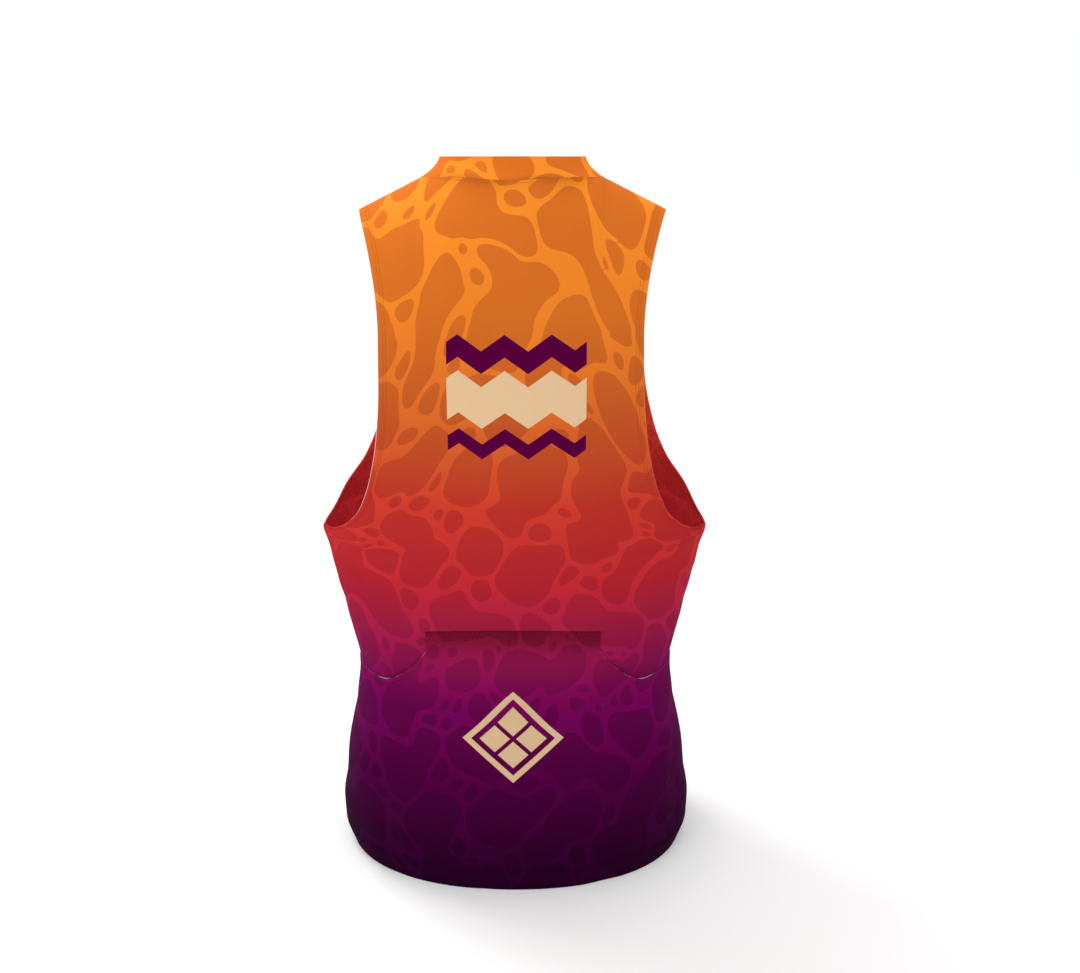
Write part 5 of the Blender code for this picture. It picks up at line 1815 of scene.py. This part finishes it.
@dataclass(frozen=True)
class Studio:
    """Camera, floor and soft light."""

    image_width: float = 1080.0
    focal_pixels: float = 1131.0
    camera_place: Triple = (-0.0235, 1.0, 0.035)
    pitch: float = math.radians(15.5)
    raise_pixels: float = -18.0

    def camera(self) -> None:
        """The camera, straight behind the garment and looking down at it."""
        data = bpy.data.cameras.new("camera")
        data.sensor_width = 36.0
        data.lens = data.sensor_width * self.focal_pixels / self.image_width
        data.shift_y = self.raise_pixels / self.image_width
        made = add_object("camera", data)
        made.location = self.camera_place
        made.rotation_euler = (math.pi / 2 - self.pitch, 0.0, math.pi)
        bpy.context.scene.camera = made

    def floor(self) -> None:
        """A wide pale floor at the hem's level."""
        made = primitive(bpy.ops.mesh.primitive_plane_add, size=40.0,
                         location=(0, 0, -HOLD_HEIGHT - 0.0004))
        made.name = "floor"
        board = Board("floor_paper")
        grain = board.noise(board.place(), 6, 2.0)
        colour = board.mix(grain, (0.90, 0.90, 0.90), (0.93, 0.93, 0.93))
        board.fill(board.shader, {"Emission Color": (1.0, 1.0, 1.0), "Emission Strength": 0.09})
        made.data.materials.append(board.finish(colour, 0.9, specular=0.1))

    def light(self) -> None:
        """A white sky and two large soft lights."""
        world = bpy.data.worlds.new("sky")
        world.use_nodes = True
        background = world.node_tree.nodes["Background"]
        background.inputs["Color"].default_value = (1.0, 1.0, 1.0, 1.0)
        background.inputs["Strength"].default_value = 1.0
        bpy.context.scene.world = world
        lamps = (("key", (1.1, -0.9, 1.5), 1.0, 22.0), ("fill", (1.3, 1.5, 0.7), 1.2, 3.5))
        for name, place, size, power in lamps:
            data = bpy.data.lights.new(name, "AREA")
            data.shape = "DISK"
            data.size = size
            data.energy = power
            made = add_object(name, data)
            made.location = place
            aim = np.array([0.0, 0.0, -0.25]) - np.array(place)
            made.rotation_euler = (
                math.atan2(math.hypot(aim[0], aim[1]), -aim[2]), 0.0,
                math.atan2(aim[1], aim[0]) - math.pi / 2)
        bpy.context.scene.view_settings.view_transform = "Standard"


# ---------------------------------------------------------------- assembly

def place_piece(made: Object, body: str, slot: str, *nodes: str) -> None:
    """Puts a piece on its body and hides the solids it stands for; its material slot is not used.
    """
    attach(made, body)
    if nodes:
        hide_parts(*nodes)
    LOG.info("%s: %d faces, rides on %s", made.name, len(made.data.polygons), body)


def main() -> None:
    """Builds the studio and every piece in order."""
    logging.basicConfig(level=logging.INFO, format="%(name)s: %(message)s")
    studio = Studio()
    studio.camera()
    edge = CutEdge().build()
    # The inside is lightened (depth 1.5) as painted light, for the little light that reaches it.
    inside = PrintedKnit("knit_inside", depth=1.5, contrast=0.6, grain=1.5, veil=0.16,
                         speck=480).build()
    plain = PrintedKnit("knit_printed").build()
    upper = PrintedKnit("knit_back_printed", Motif.ZIGZAG).build()
    lower = PrintedKnit("knit_pocket_printed", Motif.LOZENGE).build()
    thread = Thread().build()
    tape = Polymer("zip_tape", (66, 10, 48), 0.8, 0.0006).build()
    coil = Polymer("zip_coil", (44, 8, 36), 0.35).build()
    lacquer = Lacquer().build()

    panels = Panels()
    back_print, front_print = CellPrint(11), CellPrint(29)
    place_piece(panels.build_back(back_print, [upper, inside, edge]), "garment", "knit", "back")
    pocket = Pocket(panels)
    place_piece(pocket.build(back_print, [lower, inside, edge]), "garment", "knit", "back_pocket")
    place_piece(panels.build_front(front_print, [plain, inside, edge]), "garment", "knit", "front")
    place_piece(panels.build_collar(back_print, [plain, inside, edge]), "garment", "knit",
                "collar")
    closure = Zip(panels)
    place_piece(closure.build_tapes(tape), "garment", "coil", "zip")
    place_piece(closure.build_teeth(coil), "garment", "coil")
    place_piece(closure.build_slider(lacquer), "garment", "zip_metal", "zip_slider")
    place_piece(closure.build_pull(lacquer), "pull", "zip_metal", "zip_pull")
    for made in Seams(panels, pocket).build(thread):
        place_piece(made, "garment", "knit")

    studio.floor()
    studio.light()


if __name__ == "__main__":
    main()
